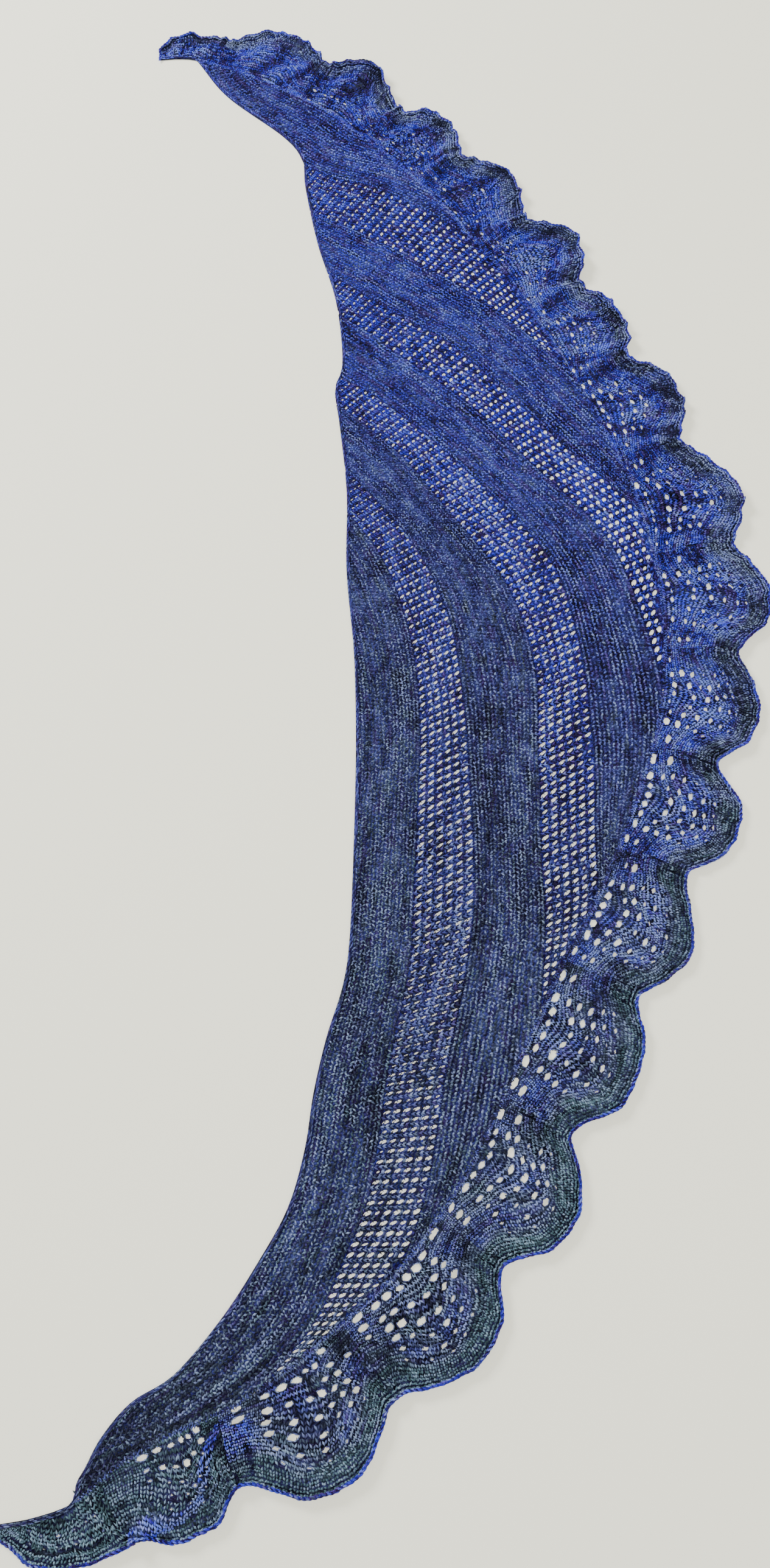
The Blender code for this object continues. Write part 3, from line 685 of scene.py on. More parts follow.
for order, (node_name, inner, outer, holes, pitch, opening, blue) in enumerate(MESHES):
    low, high = strip_edges(inner, outer, 0.0)
    fine, _ = wide_places(low, high)
    first, last = fine[0], fine[-1]
    places = strip_places(low, high, lambda p: through(pitch, 2 * (p - first) / (last - first)))
    count = len(places) - 1
    gape = through(opening, np.linspace(0, len(opening) - 1, count)) * (1 + luck.normal(0, 0.06, count))

    # Cell edges: each cell along the band has its hole in the middle
    whole = np.arange(count + 1, dtype=float)
    marks = np.sort(np.concatenate((
        whole[:1], whole[:-1] + 0.5 - gape / 2, whole[:-1] + 0.5 + gape / 2, whole[-1:]
    )))
    rows = np.sort(np.concatenate((
        [0.0], np.arange(holes) + BAR_SHARE / 2, np.arange(holes) + 1 - BAR_SHARE / 2, [holes]
    )))
    top, share, length, kept = strip_lattice(
        np.interp(marks, whole, places), rows / holes, low, high, MESH_CLOTH
    )
    clear = (share > HOLE_EDGE / length) & (share < 1 - HOLE_EDGE / length)
    cell = np.zeros(kept.shape, bool)
    cell[1::2, 1::2] = True
    cell[-1:, :] = False
    broad = np.clip(luck.normal(0.92, 0.20, kept.shape), 0.30, 1.0)
    tall = np.clip(broad + luck.normal(0, 0.08, kept.shape), 0.4, 1.0)[..., None]
    turn = np.arange(HOLE_POINTS) * math.pi / 4
    ring_v = 0.5 + 0.5 * tall * np.sin(turn)
    ring_u = 0.5 + 0.5 * broad[..., None] * np.cos(turn)
    ring_u = ring_u + luck.normal(HOLE_SLANT, 0.08, kept.shape)[..., None] * (ring_v - 0.5)
    gaps = (cell & np.logical_and.reduce(four_corners(clear)), ring_u, ring_v)
    weave = np.stack(np.meshgrid(marks * 2.0, rows * 2.0, indexing="ij"), -1)
    cloth = shell(node_name + "_cloth", top, MESH_CLOTH, kept, weave, mesh_back, gaps)

    def band_point(index, row):
        """A point of the band, its share of the section and the section's length."""
        place = np.interp(index, whole, places)
        fraction = row / holes
        share = low(place) * (1 - fraction) + high(place) * fraction
        return on_body(place, share), share, section_length(place)

    def inside_band(index, row, far_edge):
        """Which stitches lie on the body, with their neighbours on both sides."""
        _, share, length = band_point(index, row)
        inside = (share > 0.0012 / length) & (share < 1 - far_edge / length)
        for side in (-0.45, 0.45):
            _, beside, _ = band_point(np.clip(index + side, 0, count), row)
            inside &= beside > 0.0008 / length
        return inside

    groups = []
    n = len(whole)
    opened = np.interp(whole, np.arange(count) + 0.5, gape)
    ahead_index, behind_index = np.clip(whole + 0.1, 0, count), np.clip(whole - 0.1, 0, count)
    for row in range(2 * holes):
        # Two stitches of the chain to each hole, each of four slanted legs
        half = (row + 0.5) / 2
        here, ahead = band_point(whole, half)[0], band_point(whole, half + 0.2)[0]
        beside, behind = band_point(ahead_index, half)[0], band_point(behind_index, half)[0]
        wale = (ahead - here) / 0.2
        tall = np.linalg.norm(wale, axis=1)
        across = (beside - behind) / (ahead_index - behind_index)[:, None]
        cell_width = np.linalg.norm(across, axis=1)
        across /= cell_width[:, None]
        hand = np.sign(wale[:, 0] * across[:, 1] - wale[:, 1] * across[:, 0])
        chain = cell_width * (1 - opened)
        good = inside_band(whole, half, 0.0006) & (tall > 0.002)
        for side, slant, drop in CHAIN_LEGS:
            spot = here + across * (side * chain)[:, None] + luck.normal(0, 0.0002, here.shape)
            lean = np.arctan2(wale[:, 1], wale[:, 0]) + hand * np.sign(side) * slant
            height = MESH_CLOTH + 0.0003 - drop + luck.normal(0, 0.0001, n)
            # The deeper legs are painted darker, as painted shade
            groups.append(stitch_set(
                at=np.column_stack((spot, height)),
                turn=lean + luck.normal(0, 0.14, n),
                size=(np.clip(tall * 0.70 / MESH_LOOP, 0.4, 1.5), np.clip(chain / 0.0056, 0.65, 1.2), 1.0),
                run=whole * 0.010 + 0.017 * row + 5.1 * order,
                row=row + 300.0 + 40 * order,
                blue=through(blue, np.clip(2 * whole / count, 0, 2)),
                pale=0.09 - 700 * drop + luck.normal(0, 0.10, n),
                good=good,
            ))
    index = np.arange(count) + 0.5
    n = len(index)
    for row in range(1, holes):
        # Two strands cross between one hole and the next
        for shift in (-0.08, 0.08):
            here = band_point(index, row + shift)[0]
            run = band_point(index + 0.3, row + shift)[0] - band_point(index - 0.3, row + shift)[0]
            wide = np.linalg.norm(run, axis=1) / 0.6 * gape + 0.0030
            groups.append(stitch_set(
                at=np.column_stack((here, np.full(n, MESH_CLOTH))),
                turn=np.arctan2(run[:, 1], run[:, 0]) + luck.normal(0, 0.25, n),
                size=(wide / MESH_LOOP, 0.85, 0.8),
                run=index * 0.010 + 0.017 * row + 5.1 * order + 2.3,
                row=2 * row + 500.0 + 20 * order,
                blue=through(blue, 2 * index / count),
                pale=-0.04 + luck.normal(0, 0.10, n),
                good=inside_band(index, row + shift, 0.0012),
            ))
    stitches = loops(
        node_name + "_loops", mesh_loops, groups,
        loop_length=0.0052, yarn_width=0.0019, bow=0.0003, rise=0.0012, bends=3, seed=31 + order,
    )
    laid_in(cloth, [stitches], node_name, top[:, 0, :2], top[:, -1, :2])


# Lace border. A scalloped edging of seventeen fans and a small lobe at each tip, in the
# same wool: yarn-overs open the fans in arcs of holes, and stitches knitted together
# between two fans draw the cloth up into a soft ridge. It is knitted on all round.
FAN_COLUMNS = (
    "centre", "before", "reach", "after", "notch", "notch_reach", "ridge", "curl", "hole_rows",
)
FANS = (
    (0.030, 0.032, 0.034, 0.040, 0.078, 0.043, 0.006, 0.003, 0),
    (0.148, 0.071, 0.081, 0.077, 0.205, 0.064, 0.010, 0.006, 0),
    (0.250, 0.080, 0.092, 0.073, 0.321, 0.062, 0.010, 0.008, 3),
    (0.370, 0.084, 0.088, 0.083, 0.417, 0.068, 0.011, 0.007, 4),
    (0.475, 0.081, 0.096, 0.086, 0.544, 0.070, 0.009, 0.006, 4),
    (0.585, 0.080, 0.102, 0.093, 0.656, 0.070, 0.010, 0.007, 4),
    (0.715, 0.086, 0.088, 0.085, 0.768, 0.069, 0.011, 0.006, 4),
    (0.825, 0.092, 0.099, 0.094, 0.887, 0.074, 0.009, 0.005, 4),
    (0.957, 0.094, 0.112, 0.105, 1.015, 0.088, 0.008, 0.006, 4),
    (1.065, 0.104, 0.115, 0.108, 1.131, 0.076, 0.009, 0.004, 4),
    (1.185, 0.090, 0.099, 0.092, 1.244, 0.067, 0.010, 0.004, 4),
    (1.302, 0.098, 0.104, 0.097, 1.361, 0.071, 0.009, 0.003, 4),
    (1.427, 0.089, 0.103, 0.093, 1.488, 0.076, 0.010, 0.004, 4),
    (1.555, 0.096, 0.103, 0.099, 1.633, 0.069, 0.011, 0.005, 4),
    (1.686, 0.090, 0.103, 0.096, 1.751, 0.069, 0.013, 0.005, 4),
    (1.812, 0.094, 0.100, 0.088, 1.872, 0.073, 0.013, 0.005, 4),
    (1.922, 0.087, 0.100, 0.092, 1.998, 0.056, 0.014, 0.006, 4),
    (2.035, 0.074, 0.077, 0.073, 2.105, 0.054, 0.012, 0.005, 2),
    (2.140, 0.049, 0.044, 0.034, None, 0.012, 0.000, 0.004, 0),
)
UPPER_END_REACH = 0.016
BORDER_STRETCHES = (4, 4, 4, 4, 3)
EDGE_CORD_RADIUS = 0.0020
BOUND_CORE = 0.0015
FAN_SPREAD = 0.5
FAN_GATHER = 0.20
ROW_BOW = 0.10
RIDGE_FOOT = 0.30
RIDGE_CREST_ROW = 0.60
RIDGE_EDGE_SHARE = 0.45
LACE_CLOTH = 0.0010
STITCH_WIDTH = 0.0035
STITCH_HEIGHT = 0.0031
STITCH_LIFT = 0.0003
LACE_LOOP = 0.0050
FOLD_WIDTH = 0.09
RIM_ROWS = 5
RIM_POINTS = 80
RIM_THICKNESS = 0.0006

# Cell edges in a fan, as shares of its half width and of its reach
FAN_EDGES = (
    -1.0, -0.90, -0.72, -0.595, -0.425, -0.385, -0.215, -0.185, -0.015,
    0.015, 0.185, 0.215, 0.385, 0.425, 0.595, 0.72, 0.90, 1.0,
)
ROW_EDGES = (
    0.0, 0.02, 0.13, 0.185, 0.285, 0.31, 0.41, 0.435, 0.525, 0.565, 0.635, 0.69, 0.73, 0.82, 0.91, 1.0,
)
FAN_CELLS = (len(FAN_EDGES) - 1, len(ROW_EDGES) - 1)
# The length and width of the holes in each arc; an arc takes every other row of cells
ARC_HOLES = (
    (0.0110, 0.0052), (0.0094, 0.0046), (0.0086, 0.0044),
    (0.0082, 0.0042), (0.0070, 0.0040), (0.0048, 0.0032),
)
OPEN_CELLS = (3, 5, 7, 9, 11, 13)
NOTCH_CELLS = (1, 15)
NO_HOLE = 0.0001

root_sections = LAST_SECTION + len(LOWER_TAIL) + len(UPPER_TAIL)
root_fine = np.linspace(-len(UPPER_TAIL), LAST_SECTION + len(LOWER_TAIL), FINE_STEPS * root_sections + 1)
root_lengths = np.linalg.norm(np.diff(root_at(root_fine), axis=0), axis=1)
root_lengths = np.concatenate(([0.0], np.cumsum(root_lengths)))
body_start = root_lengths[FINE_STEPS * len(UPPER_TAIL)]
body_end = root_lengths[-1 - FINE_STEPS * len(LOWER_TAIL)]


def root_point(along):
    return root_at(np.interp(along, root_lengths, root_fine))


def level_side(run):
    """The level direction square to a run, on its outer side."""
    return np.stack((-run[..., 1], run[..., 0]), -1)


def outward(along):
    """The level direction away from the body, square to the root line."""
    ahead = root_point(np.minimum(along + 0.02, root_lengths[-1]))
    return level_side(unit(ahead - root_point(np.maximum(along - 0.02, 0.0))))


def smooth_step(value):
    value = np.clip(value, 0.0, 1.0)
    return value * value * (3.0 - 2.0 * value)


def hump(value, width):
    """A soft hump of height 1 where the value is nothing."""
    return np.exp(-((value / width) ** 2))


def crinkle(along):
    """The small uneven waves of the edge, from -1 to 1."""
    return (
        0.45 * np.sin(2 * math.pi * along / 0.0187 + 1.3)
        + 0.35 * np.sin(2 * math.pi * along / 0.0311 + 0.4)
        + 0.20 * np.sin(2 * math.pi * along / 0.0117)
    )


class Fan:
    """One scallop of the border, with its place on the root line."""

    def __init__(self, row, start, start_reach, start_ridge):
        values = dict(zip(FAN_COLUMNS, row))
        self.start, self.centre = start, values["centre"]
        self.end = values["notch"] or root_lengths[-1]
        self.end_reach = values["notch_reach"]
        self.reaches = (start_reach, values["before"], values["reach"], values["after"], self.end_reach)
        self.start_ridge, self.end_ridge = start_ridge, values["ridge"]
        self.curl = values["curl"]
        self.hole_rows = values["hole_rows"]
        # What changes down the shawl: ruffles, folds, creases and the dye
        self.ruffle = 0.0008 + 0.0020 * smooth_step((1.5 - self.centre) / 0.9)
        self.fold = 0.0030 * smooth_step((self.centre - 1.5) / 0.3)
        self.folded = self.hole_rows == 2
        self.crease = 0.0018 * smooth_step((1.45 - self.centre) / 0.6)
        self.creases = (-0.62 + 0.2 * math.sin(61 * self.centre), 0.22 + 0.2 * math.sin(83 * self.centre))
        self.upper = smooth_step((1.75 - self.centre) / 0.9)
        self.lower = smooth_step((self.centre - 1.55) / 0.3)

    def along(self, across):
        span = np.where(across < 0, self.centre - self.start, self.end - self.centre)
        return self.centre + across * span

    def outline(self, across):
        row = (self.reaches[1], *self.reaches, self.reaches[3])
        along = self.along(across)
        reach = through(row, 3.0 + 2.0 * across) + self.ruffle * crinkle(along)
        return root_point(along) + outward(along) * reach[..., None]

    def inside_edge(self, across, inset):
        run = self.outline(np.minimum(across + 0.04, 1.0)) - self.outline(np.maximum(across - 0.04, -1.0))
        return self.outline(across) - level_side(unit(run)) * inset

    def height(self, across, share):
        ridge = np.where(across < 0, self.start_ridge, self.end_ridge)
        rise = smooth_step((np.abs(across) - RIDGE_FOOT) / (1.0 - RIDGE_FOOT))
        climb = smooth_step(share / RIDGE_CREST_ROW)
        fall = smooth_step((share - RIDGE_CREST_ROW) / (1.0 - RIDGE_CREST_ROW))
        profile = np.where(share < RIDGE_CREST_ROW, climb, 1.0 - (1.0 - RIDGE_EDGE_SHARE) * fall)
        curl = self.curl * smooth_step((share - 0.7) / 0.3) * (1.0 - rise)
        wave = self.ruffle * (1 + crinkle(self.along(across) + 0.006)) * smooth_step((share - 0.45) / 0.5)
        near = 1.0 - np.abs(across)
        crest = 0.20 * hump(near, 0.13) - 0.20 * hump(near - 0.24, 0.08)
        fold = self.fold * hump(share - 0.76, 0.05) * (1.0 - rise)
        if self.folded:
            fold = fold + 0.0060 * hump(self.off_fold(across, share), FOLD_WIDTH)
        crease = self.crease * hump(self.off_crease(across, share), 0.20) * smooth_step(share / 0.3)
        return ridge * (rise + crest) * profile + curl + 0.8 * wave + fold + crease * (1.0 - rise)

    def uneven(self, across, share):
        """Shift the lattice a little, so no two arcs of holes are alike."""
        within = 4 * share * (1 - share) * (1 - across * across)
        beside = 0.060 * within * np.sin(37 * self.centre + 5 * across + 8 * share)
        ahead = 0.045 * within * np.sin(51 * self.centre + 7 * across - 6 * share)
        return across + beside, share + ahead

    def off_crease(self, across, share):
        """How far a point is from the nearer of the two soft creases of an upper fan."""
        offs = np.stack([across - foot - 0.45 * share for foot in self.creases])
        return np.take_along_axis(offs, np.abs(offs).argmin(0)[None], 0)[0]

    def off_fold(self, across, share):
        """How far a point is from the fold that runs across the last full fan."""
        return share - 0.25 - 0.375 * (across + 1)

    def point(self, across, share):
        """A point on the underside of the lace. Its rows bow out in the middle of the fan."""
        across, share = np.broadcast_arrays(np.asarray(across, float), np.asarray(share, float))
        across, share = self.uneven(across, share)
        turn = np.sin(np.pi * across) / np.pi
        along = self.along(across - FAN_GATHER * turn)
        foot = root_point(along) + outward(along) * (SEAM_GAP / 2)
        edge = self.inside_edge(across + FAN_SPREAD * turn, EDGE_CORD_RADIUS)
        share = share + ROW_BOW * 4 * share * (1 - share) * np.cos(np.pi * across)
        flat = foot + (edge - foot) * share[..., None]
        return np.concatenate((flat, self.height(across, share)[..., None]), -1)

    def cord_point(self, across):
        across = np.asarray(across, float)
        spread = across + FAN_SPREAD * np.sin(np.pi * across) / np.pi
        flat = self.inside_edge(spread, BOUND_CORE)
        height = self.height(across, np.ones_like(across)) + BOUND_CORE
        return np.concatenate((flat, height[..., None]), -1)


def turned_to(x, y, way):
    """Level offsets along and across a direction."""
    return x * np.cos(way) + y * np.sin(way), y * np.cos(way) - x * np.sin(way)


def slots(top, long, short, way, shift):
    """Eight points round the slot in each cell, as shares of the cell; way is its angle."""
    a, b, c, d = four_corners(top)
    beside, ahead = (b - a + c - d)[..., None, :2] / 2, (d - a + c - b)[..., None, :2] / 2
    turn = np.arange(HOLE_POINTS) * math.pi / 4
    reach = beside * np.cos(turn)[:, None] + ahead * np.sin(turn)[:, None]
    x, y = turned_to(reach[..., 0], reach[..., 1], way[..., None])
    radius = 0.5 / np.hypot(x / long[..., None], y / short[..., None])
    for off, reach in zip(shift, (np.cos(turn), np.sin(turn))):
        room = 0.47 - off[..., None] * np.sign(reach)
        radius = np.minimum(radius, room / np.maximum(np.abs(reach), 0.001))
    u = 0.5 + shift[0][..., None] + radius * np.cos(turn)
    v = 0.5 + shift[1][..., None] + radius * np.sin(turn)
    return u, v


def fan_openings(fan):
    """The length, width, angle and shift of the hole in each cell of a fan."""
    long, short = np.full(FAN_CELLS, NO_HOLE), np.full(FAN_CELLS, NO_HOLE)
    shrink = 0.66 + 0.34 * smooth_step((fan.centre - 0.62) / 0.25)
    for arc, (hole_long, hole_wide) in enumerate(ARC_HOLES):
        if arc >= fan.hole_rows and fan.centre < 0.85:
            continue
        if fan.hole_rows == 2:
            shrink = 0.85 if arc < 2 else 0.45
        elif fan.hole_rows == 0:
            shrink = 0.4
            if fan.centre < 2 or arc not in (2, 4):
                continue
        cells = list(OPEN_CELLS)
        if arc < 3 and fan.hole_rows > 2:
            cells += [cell for cell in NOTCH_CELLS if luck.random() < 0.75]
        vary = np.clip(luck.normal(1.0, 0.16, len(cells)), 0.6, 1.3) * shrink
        if arc == 0 and fan.centre < 1.2:
            vary = vary * luck.choice((0.5, 0.65, 1.0), len(vary))
        row = 2 * arc + 1
        long[cells, row] = hole_long * vary
        short[cells, row] = hole_wide * vary * np.clip(luck.normal(1.0, 0.12, len(vary)), 0.7, 1.3)
    line = root_point(np.array((fan.centre - 0.02, fan.centre + 0.02)))
    way = math.atan2(*(line[1] - line[0])[::-1]) + luck.normal(-0.12, 0.13, FAN_CELLS)
    shift = np.clip(luck.normal(0.0, 0.035, (2, *FAN_CELLS)), -0.1, 0.1)
    shift[1, :, 1] = np.clip(luck.normal(0.0, 0.10, FAN_CELLS[0]), -0.2, 0.2)
    return long, short, way, shift


def yarn_round_holes(fan, ring):
    """Short loops of yarn from each point round a hole to the next."""
    after = np.roll(ring, -1, axis=1)
    run = (after - ring).reshape(-1, 3)
    spot = (ring + after) / 2
    spot = (spot + 0.0005 * (spot - ring.mean(axis=1)[:, None]) / 0.003).reshape(-1, 3)
    n = len(spot)
    return stitch_set(
        at=spot + np.column_stack((np.zeros((n, 2)), luck.normal(0.0002, 0.0002, n))),
        turn=turned(run + luck.normal(0, 0.0003, run.shape), UP),
        size=(np.clip(np.linalg.norm(run, axis=1) * 1.6 / LACE_LOOP, 0.3, 1.3), 0.75, 0.8),
        run=fan.centre + 0.0031 * np.arange(n),
        row=np.repeat(np.arange(n // HOLE_POINTS), HOLE_POINTS) * 3.0 + 1700,
        blue=0.15 + 0.95 * fan.upper,
        pale=luck.normal(0.07, 0.14, n),
    )


def lace_dye_and_painted_light(fan, u, v, flank_streak_and_light, pale_luck):
    """How blue and how pale the stitches of a fan are: bluer at the root and upper tip and in
    patches. Painted shade darkens the side before a ridge, and the side behind it has a bright
    streak, partly dye and partly painted light. Along creases and folds lie painted highlights
    and painted shade."""
    outer = smooth_step((v - 0.62) / 0.2)
    notch = smooth_step((np.abs(u) - 0.60) / 0.25) * (1 - outer)
    blue = 0.15 + 0.95 * fan.upper - outer * (0.60 + 0.30 * fan.upper)
    # Painted shade on the flank before a ridge; a bright royal streak on the flank behind it, partly dye and
    # partly painted light
    pale = 0.13 + 0.04 * fan.lower - 0.18 * notch * (u < 0) + pale_luck
    blue = blue + flank_streak_and_light * notch * (u > 0) * smooth_step((v - 0.1) / 0.3)
    blue = blue + 0.15 * fan.upper * (v < 0.25)
    patch = np.sin(6 * u + 31 * fan.centre) * np.cos(8 * v + 3 * u + 17 * fan.centre) * (1 - 0.6 * outer)
    blue += (0.34 - 0.16 * fan.upper) * patch
    pale += 0.06 * patch - 0.05 * (1 - outer) * (1 - fan.upper)
    # A painted highlight, bluer too, along each soft crease, and painted shade just beside it
    crest = fan.off_crease(u, v)
    pale += fan.upper * (0.10 * hump(crest, 0.10) - 0.26 * hump(crest - 0.26, 0.12))
    blue += 0.40 * fan.upper * hump(crest + 0.04, 0.12) * (v > 0.12)
    if fan.folded:
        off_fold = fan.off_fold(u, v)
        on_fold = np.abs(off_fold) < FOLD_WIDTH
        blue = np.where(on_fold, 1.0, -0.3)
        # The fold is bright royal dye with a painted highlight on it, and painted shade in a dark line beside
        # it
        pale += np.where(on_fold, 0.14, -0.04) - 0.12 * (np.abs(off_fold - 0.14) < 0.05)
    elif fan.end == root_lengths[-1]:
        blue -= 0.8
    return blue, pale


def fan_stitches(fan, across_count, row_count, reach, holes):
    """Stitches in columns that run outwards, each of two slanted legs, clear of the holes.
    holes gives each hole's middle, length, width and angle."""
    cell = (np.arange(across_count) + 0.5) / across_count * 2 - 1
    line = np.append((np.arange(row_count) + 0.5) / row_count, 0.996)
    u, v = (grid.ravel() for grid in np.meshgrid(cell, line, indexing="ij"))
    n = len(u)
    here = fan.point(u, v)
    step = 0.01
    v_after = np.minimum(v + step, 1)
    wale = (fan.point(u, v_after) - fan.point(u, v - step)) / (v_after - v + step)[:, None]
    across = fan.point(np.minimum(u + step, 1), v) - fan.point(np.maximum(u - step, -1), v)
    across = across / (2 * step)
    tall = np.linalg.norm(wale, axis=1) / row_count
    wide = np.linalg.norm(across, axis=1) * 2 / across_count
    # Where the columns crowd, two stitches are knitted together
    together = wide < 0.66 * STITCH_WIDTH
    single = ~(together & (np.repeat(np.arange(across_count), len(line)) % 2 == 1))
    wide = np.where(together, 2 * wide, wide)
    normal = np.cross(across, wale)
    normal = unit(normal * np.sign(normal[:, 2])[:, None])
    wale, across = unit(wale), unit(across)
    # The last row stands up in a ridge, with a furrow before it
    lift = 0.0010 * hump(v - 0.95, 0.022) - 0.0005 * hump(v - 0.89, 0.02)
    # How strong the bright streak behind a ridge is, partly dye and partly painted light
    streak = 0.8 if fan is fans[-3] else luck.uniform(0.1, 0.55)
    off_body = (fan.along(u) < body_start) | (fan.along(u) > body_end)
    wanted = single & (tall > 0.0008) & ~(off_body & (v * reach < 0.0035))
    legs = []
    for side in (-1, 1):
        forward = wale * math.cos(0.42) - across * (side * math.sin(0.42))
        level = across * math.cos(0.5) + wale * (side * math.sin(0.5))
        forward = np.where((v > 0.93)[:, None], level, forward)
        forward = forward + luck.normal(0, 0.16, forward.shape)
        beside, above = side * 0.24 * wide, LACE_CLOTH + STITCH_LIFT + lift
        spot = here + across * beside[:, None] + normal * above[:, None]
        good = wanted.copy()
        if len(holes[0]):
            hole_at, hole_long, hole_wide, hole_way = holes
            off = spot[:, None, :2] - hole_at[None, :, :2]
            x, y = turned_to(off[..., 0], off[..., 1], hole_way)
            inside = np.hypot(x / (hole_long / 2 + 0.0009), y / (hole_wide / 2 + 0.0009))
            good &= inside.min(axis=1) > 1
        blue, pale = lace_dye_and_painted_light(fan, u, v, streak, luck.normal(0, 0.14, n))
        legs.append(stitch_set(
            at=spot + luck.normal(0, 0.00022, spot.shape),
            turn=turned(forward, normal),
            size=(np.clip(tall * 1.35 / 0.0046, 0.4, 1.4), np.clip(wide / 0.0036, 0.55, 1.15), 0.9),
            run=fan.along(u) + 0.013 * np.round(v * row_count),
            row=v * row_count + 700,
            blue=blue,
            pale=pale,
            good=good,
        ))
    return legs


def joining_row(number, start, end):
    """The row of stitches that joins a stretch of the lace to the body."""
    n = max(int(round((end - start) / 0.0012)), 8)
    along = np.linspace(start, end, n) + luck.normal(0, 0.0004, n)
    off = np.where(np.arange(n) % 2, 0.0008, -0.0010) + luck.normal(0, 0.0004, n)
    away = outward(along)
    spot = root_point(along) + away * off[:, None]
    lean = luck.choice((-0.6, 0.6), n) + luck.normal(0, 0.3, n)
    return stitch_set(
        at=np.column_stack((spot, np.full(n, LACE_CLOTH + STITCH_LIFT))),
        turn=np.arctan2(away[:, 1], away[:, 0]) + lean,
        size=(0.95, 0.85, 0.9),
        run=along,
        row=690.0,
        blue=0.95 - 0.13 * number,
        pale=luck.normal(0.03, 0.13, n),
    )


def rim_rows(fan):
    """Rows of fine points over the outer part of a fan's cloth. The first follows the
    straight sides of the cells and the last the scallop, so no gap shows beside the cord."""
    fine_u = np.linspace(-1, 1, RIM_POINTS)
    inner = 0.60 if fan.centre < 0.85 else 0.76
    rows = []
    for share in np.linspace(inner, 1.0, RIM_ROWS):
        even = fan.point(np.array(FAN_EDGES), np.full(len(FAN_EDGES), share))
        straight = np.stack([np.interp(fine_u, FAN_EDGES, even[:, axis]) for axis in range(3)], -1)
        part = (share - inner) / (1 - inner)
        fine = fan.point(fine_u, np.full(RIM_POINTS, share))
        rows.append(straight * (1 - part) + fine * part + UP * (LACE_CLOTH + 0.0001))
    return rows


fans = []
start, start_reach, start_ridge = 0.0, UPPER_END_REACH, 0.0
for row in FANS:
    fans.append(Fan(row, start, start_reach, start_ridge))
    start, start_reach, start_ridge = fans[-1].end, fans[-1].end_reach, fans[-1].end_ridge

lace_wool = yarn_material("lace border wool", 0.028, 1.0)
lace_back = cloth_material("lace border back", 0.2, 0.50)
lace_loops = loop_tree("legs of a lace stitch", lace_wool)
first_fan = 0

for number, stretch in enumerate(BORDER_STRETCHES, start=1):
    node_name = f"lace_border_{number}"
    own = fans[first_fan:first_fan + stretch]
    tops, weaves, open_cells, rings, rims, groups = [], [], [], [], [], []
    for k, fan in enumerate(own):
        u, v = np.meshgrid(FAN_EDGES, ROW_EDGES, indexing="ij")
        top = fan.point(u, v) + UP * LACE_CLOTH
        tops.append(top if k == 0 else top[1:])
        rims += rim_rows(fan)
        rim = fan.point(np.linspace(-1, 1, 80), np.ones(80))
        foot = fan.point(np.linspace(-1, 1, 9), np.zeros(9))
        rim_length = np.linalg.norm(np.diff(rim, axis=0), axis=1).sum()
        reach = np.linalg.norm(rim[::10][:8] - foot[:8], axis=1).mean()
        across_count = max(int(round(rim_length / STITCH_WIDTH)), 6)
        row_count = max(int(round(reach / STITCH_HEIGHT)), 4)
        weave = np.stack(((u + 1) * across_count / 2 + 40 * (first_fan + k), v * row_count), -1)
        weaves.append(weave if k == 0 else weave[1:])

        long, short, way, shift = fan_openings(fan)
        is_open = long > 0.0005
        ring_u, ring_v = slots(top, long, short, way, shift)
        open_cells.append(is_open)
        rings.append((ring_u, ring_v))
        corners = [corner[is_open][:, None] for corner in four_corners(top)]
        ring = in_cell(corners, ring_u[is_open][..., None], ring_v[is_open][..., None])
        if len(ring):
            groups.append(yarn_round_holes(fan, ring))
        holes = (ring.mean(axis=1), long[is_open], short[is_open], way[is_open])
        groups += fan_stitches(fan, across_count, row_count, reach, holes)
    groups.append(joining_row(number, *np.clip((own[0].start, own[-1].end), body_start, body_end)))

    # Two stretches meet half way between their own edges
    if number > 1:
        beside = fans[first_fan - 1].point(np.full(len(ROW_EDGES), 1.0), ROW_EDGES)
        tops[0][0, :, :2] = (tops[0][0, :, :2] + beside[:, :2]) / 2
    if number < len(BORDER_STRETCHES):
        beside = fans[first_fan + stretch].point(np.full(len(ROW_EDGES), -1.0), ROW_EDGES)
        tops[-1][-1, :, :2] = (tops[-1][-1, :, :2] + beside[:, :2]) / 2
    top, weave, open_cells = (np.concatenate(part) for part in (tops, weaves, open_cells))
    gaps = (open_cells, *(np.concatenate(part) for part in zip(*rings)))
    kept = np.ones(open_cells.shape, bool)
    cloth = shell(node_name + "_cloth", top, LACE_CLOTH, kept, weave, lace_back, gaps)
    rims = np.stack(rims).reshape(stretch, RIM_ROWS, RIM_POINTS, 3).transpose(0, 2, 1, 3)
    rims = rims.reshape(-1, RIM_ROWS, 3)
    weave = np.meshgrid(np.arange(len(rims)) / 2.0, np.arange(RIM_ROWS) * 1.5, indexing="ij")
    kept = np.ones((len(rims) - 1, RIM_ROWS - 1), bool)
    rim = shell(node_name + "_rim", rims, RIM_THICKNESS, kept, np.stack(weave, -1), lace_back)
    stitches = loops(
        node_name + "_loops", lace_loops, groups,
        loop_length=0.0050, yarn_width=0.0018, bow=0.0003, rise=0.0013, bends=3, seed=51 + number,
    )
    laid_in(cloth, [stitches, rim], node_name, top[:, 0], top[:, -1])
    first_fan += stretch


# Bound edge. The last row is bound off loosely and rolls into a soft cord of bright royal
# blue along the scallops. A core carries slanted loops, like a chain.
BOUND_STITCH = 0.0046
CORD_SIDES = 8
# The strands of the chain: the side that each lies on, how high, and its slant
BOUND_STRANDS = ((-1, 0.0004, 0.16), (1, 0.0004, 0.16), (0, 0.0008, 0.25))


def path_sides(path):
    """The direction of a path, the level one beside it, and the one over it."""
    run = unit(np.gradient(path, axis=0))
    beside = unit(np.cross(run, UP))
    return run, beside, np.cross(beside, run)


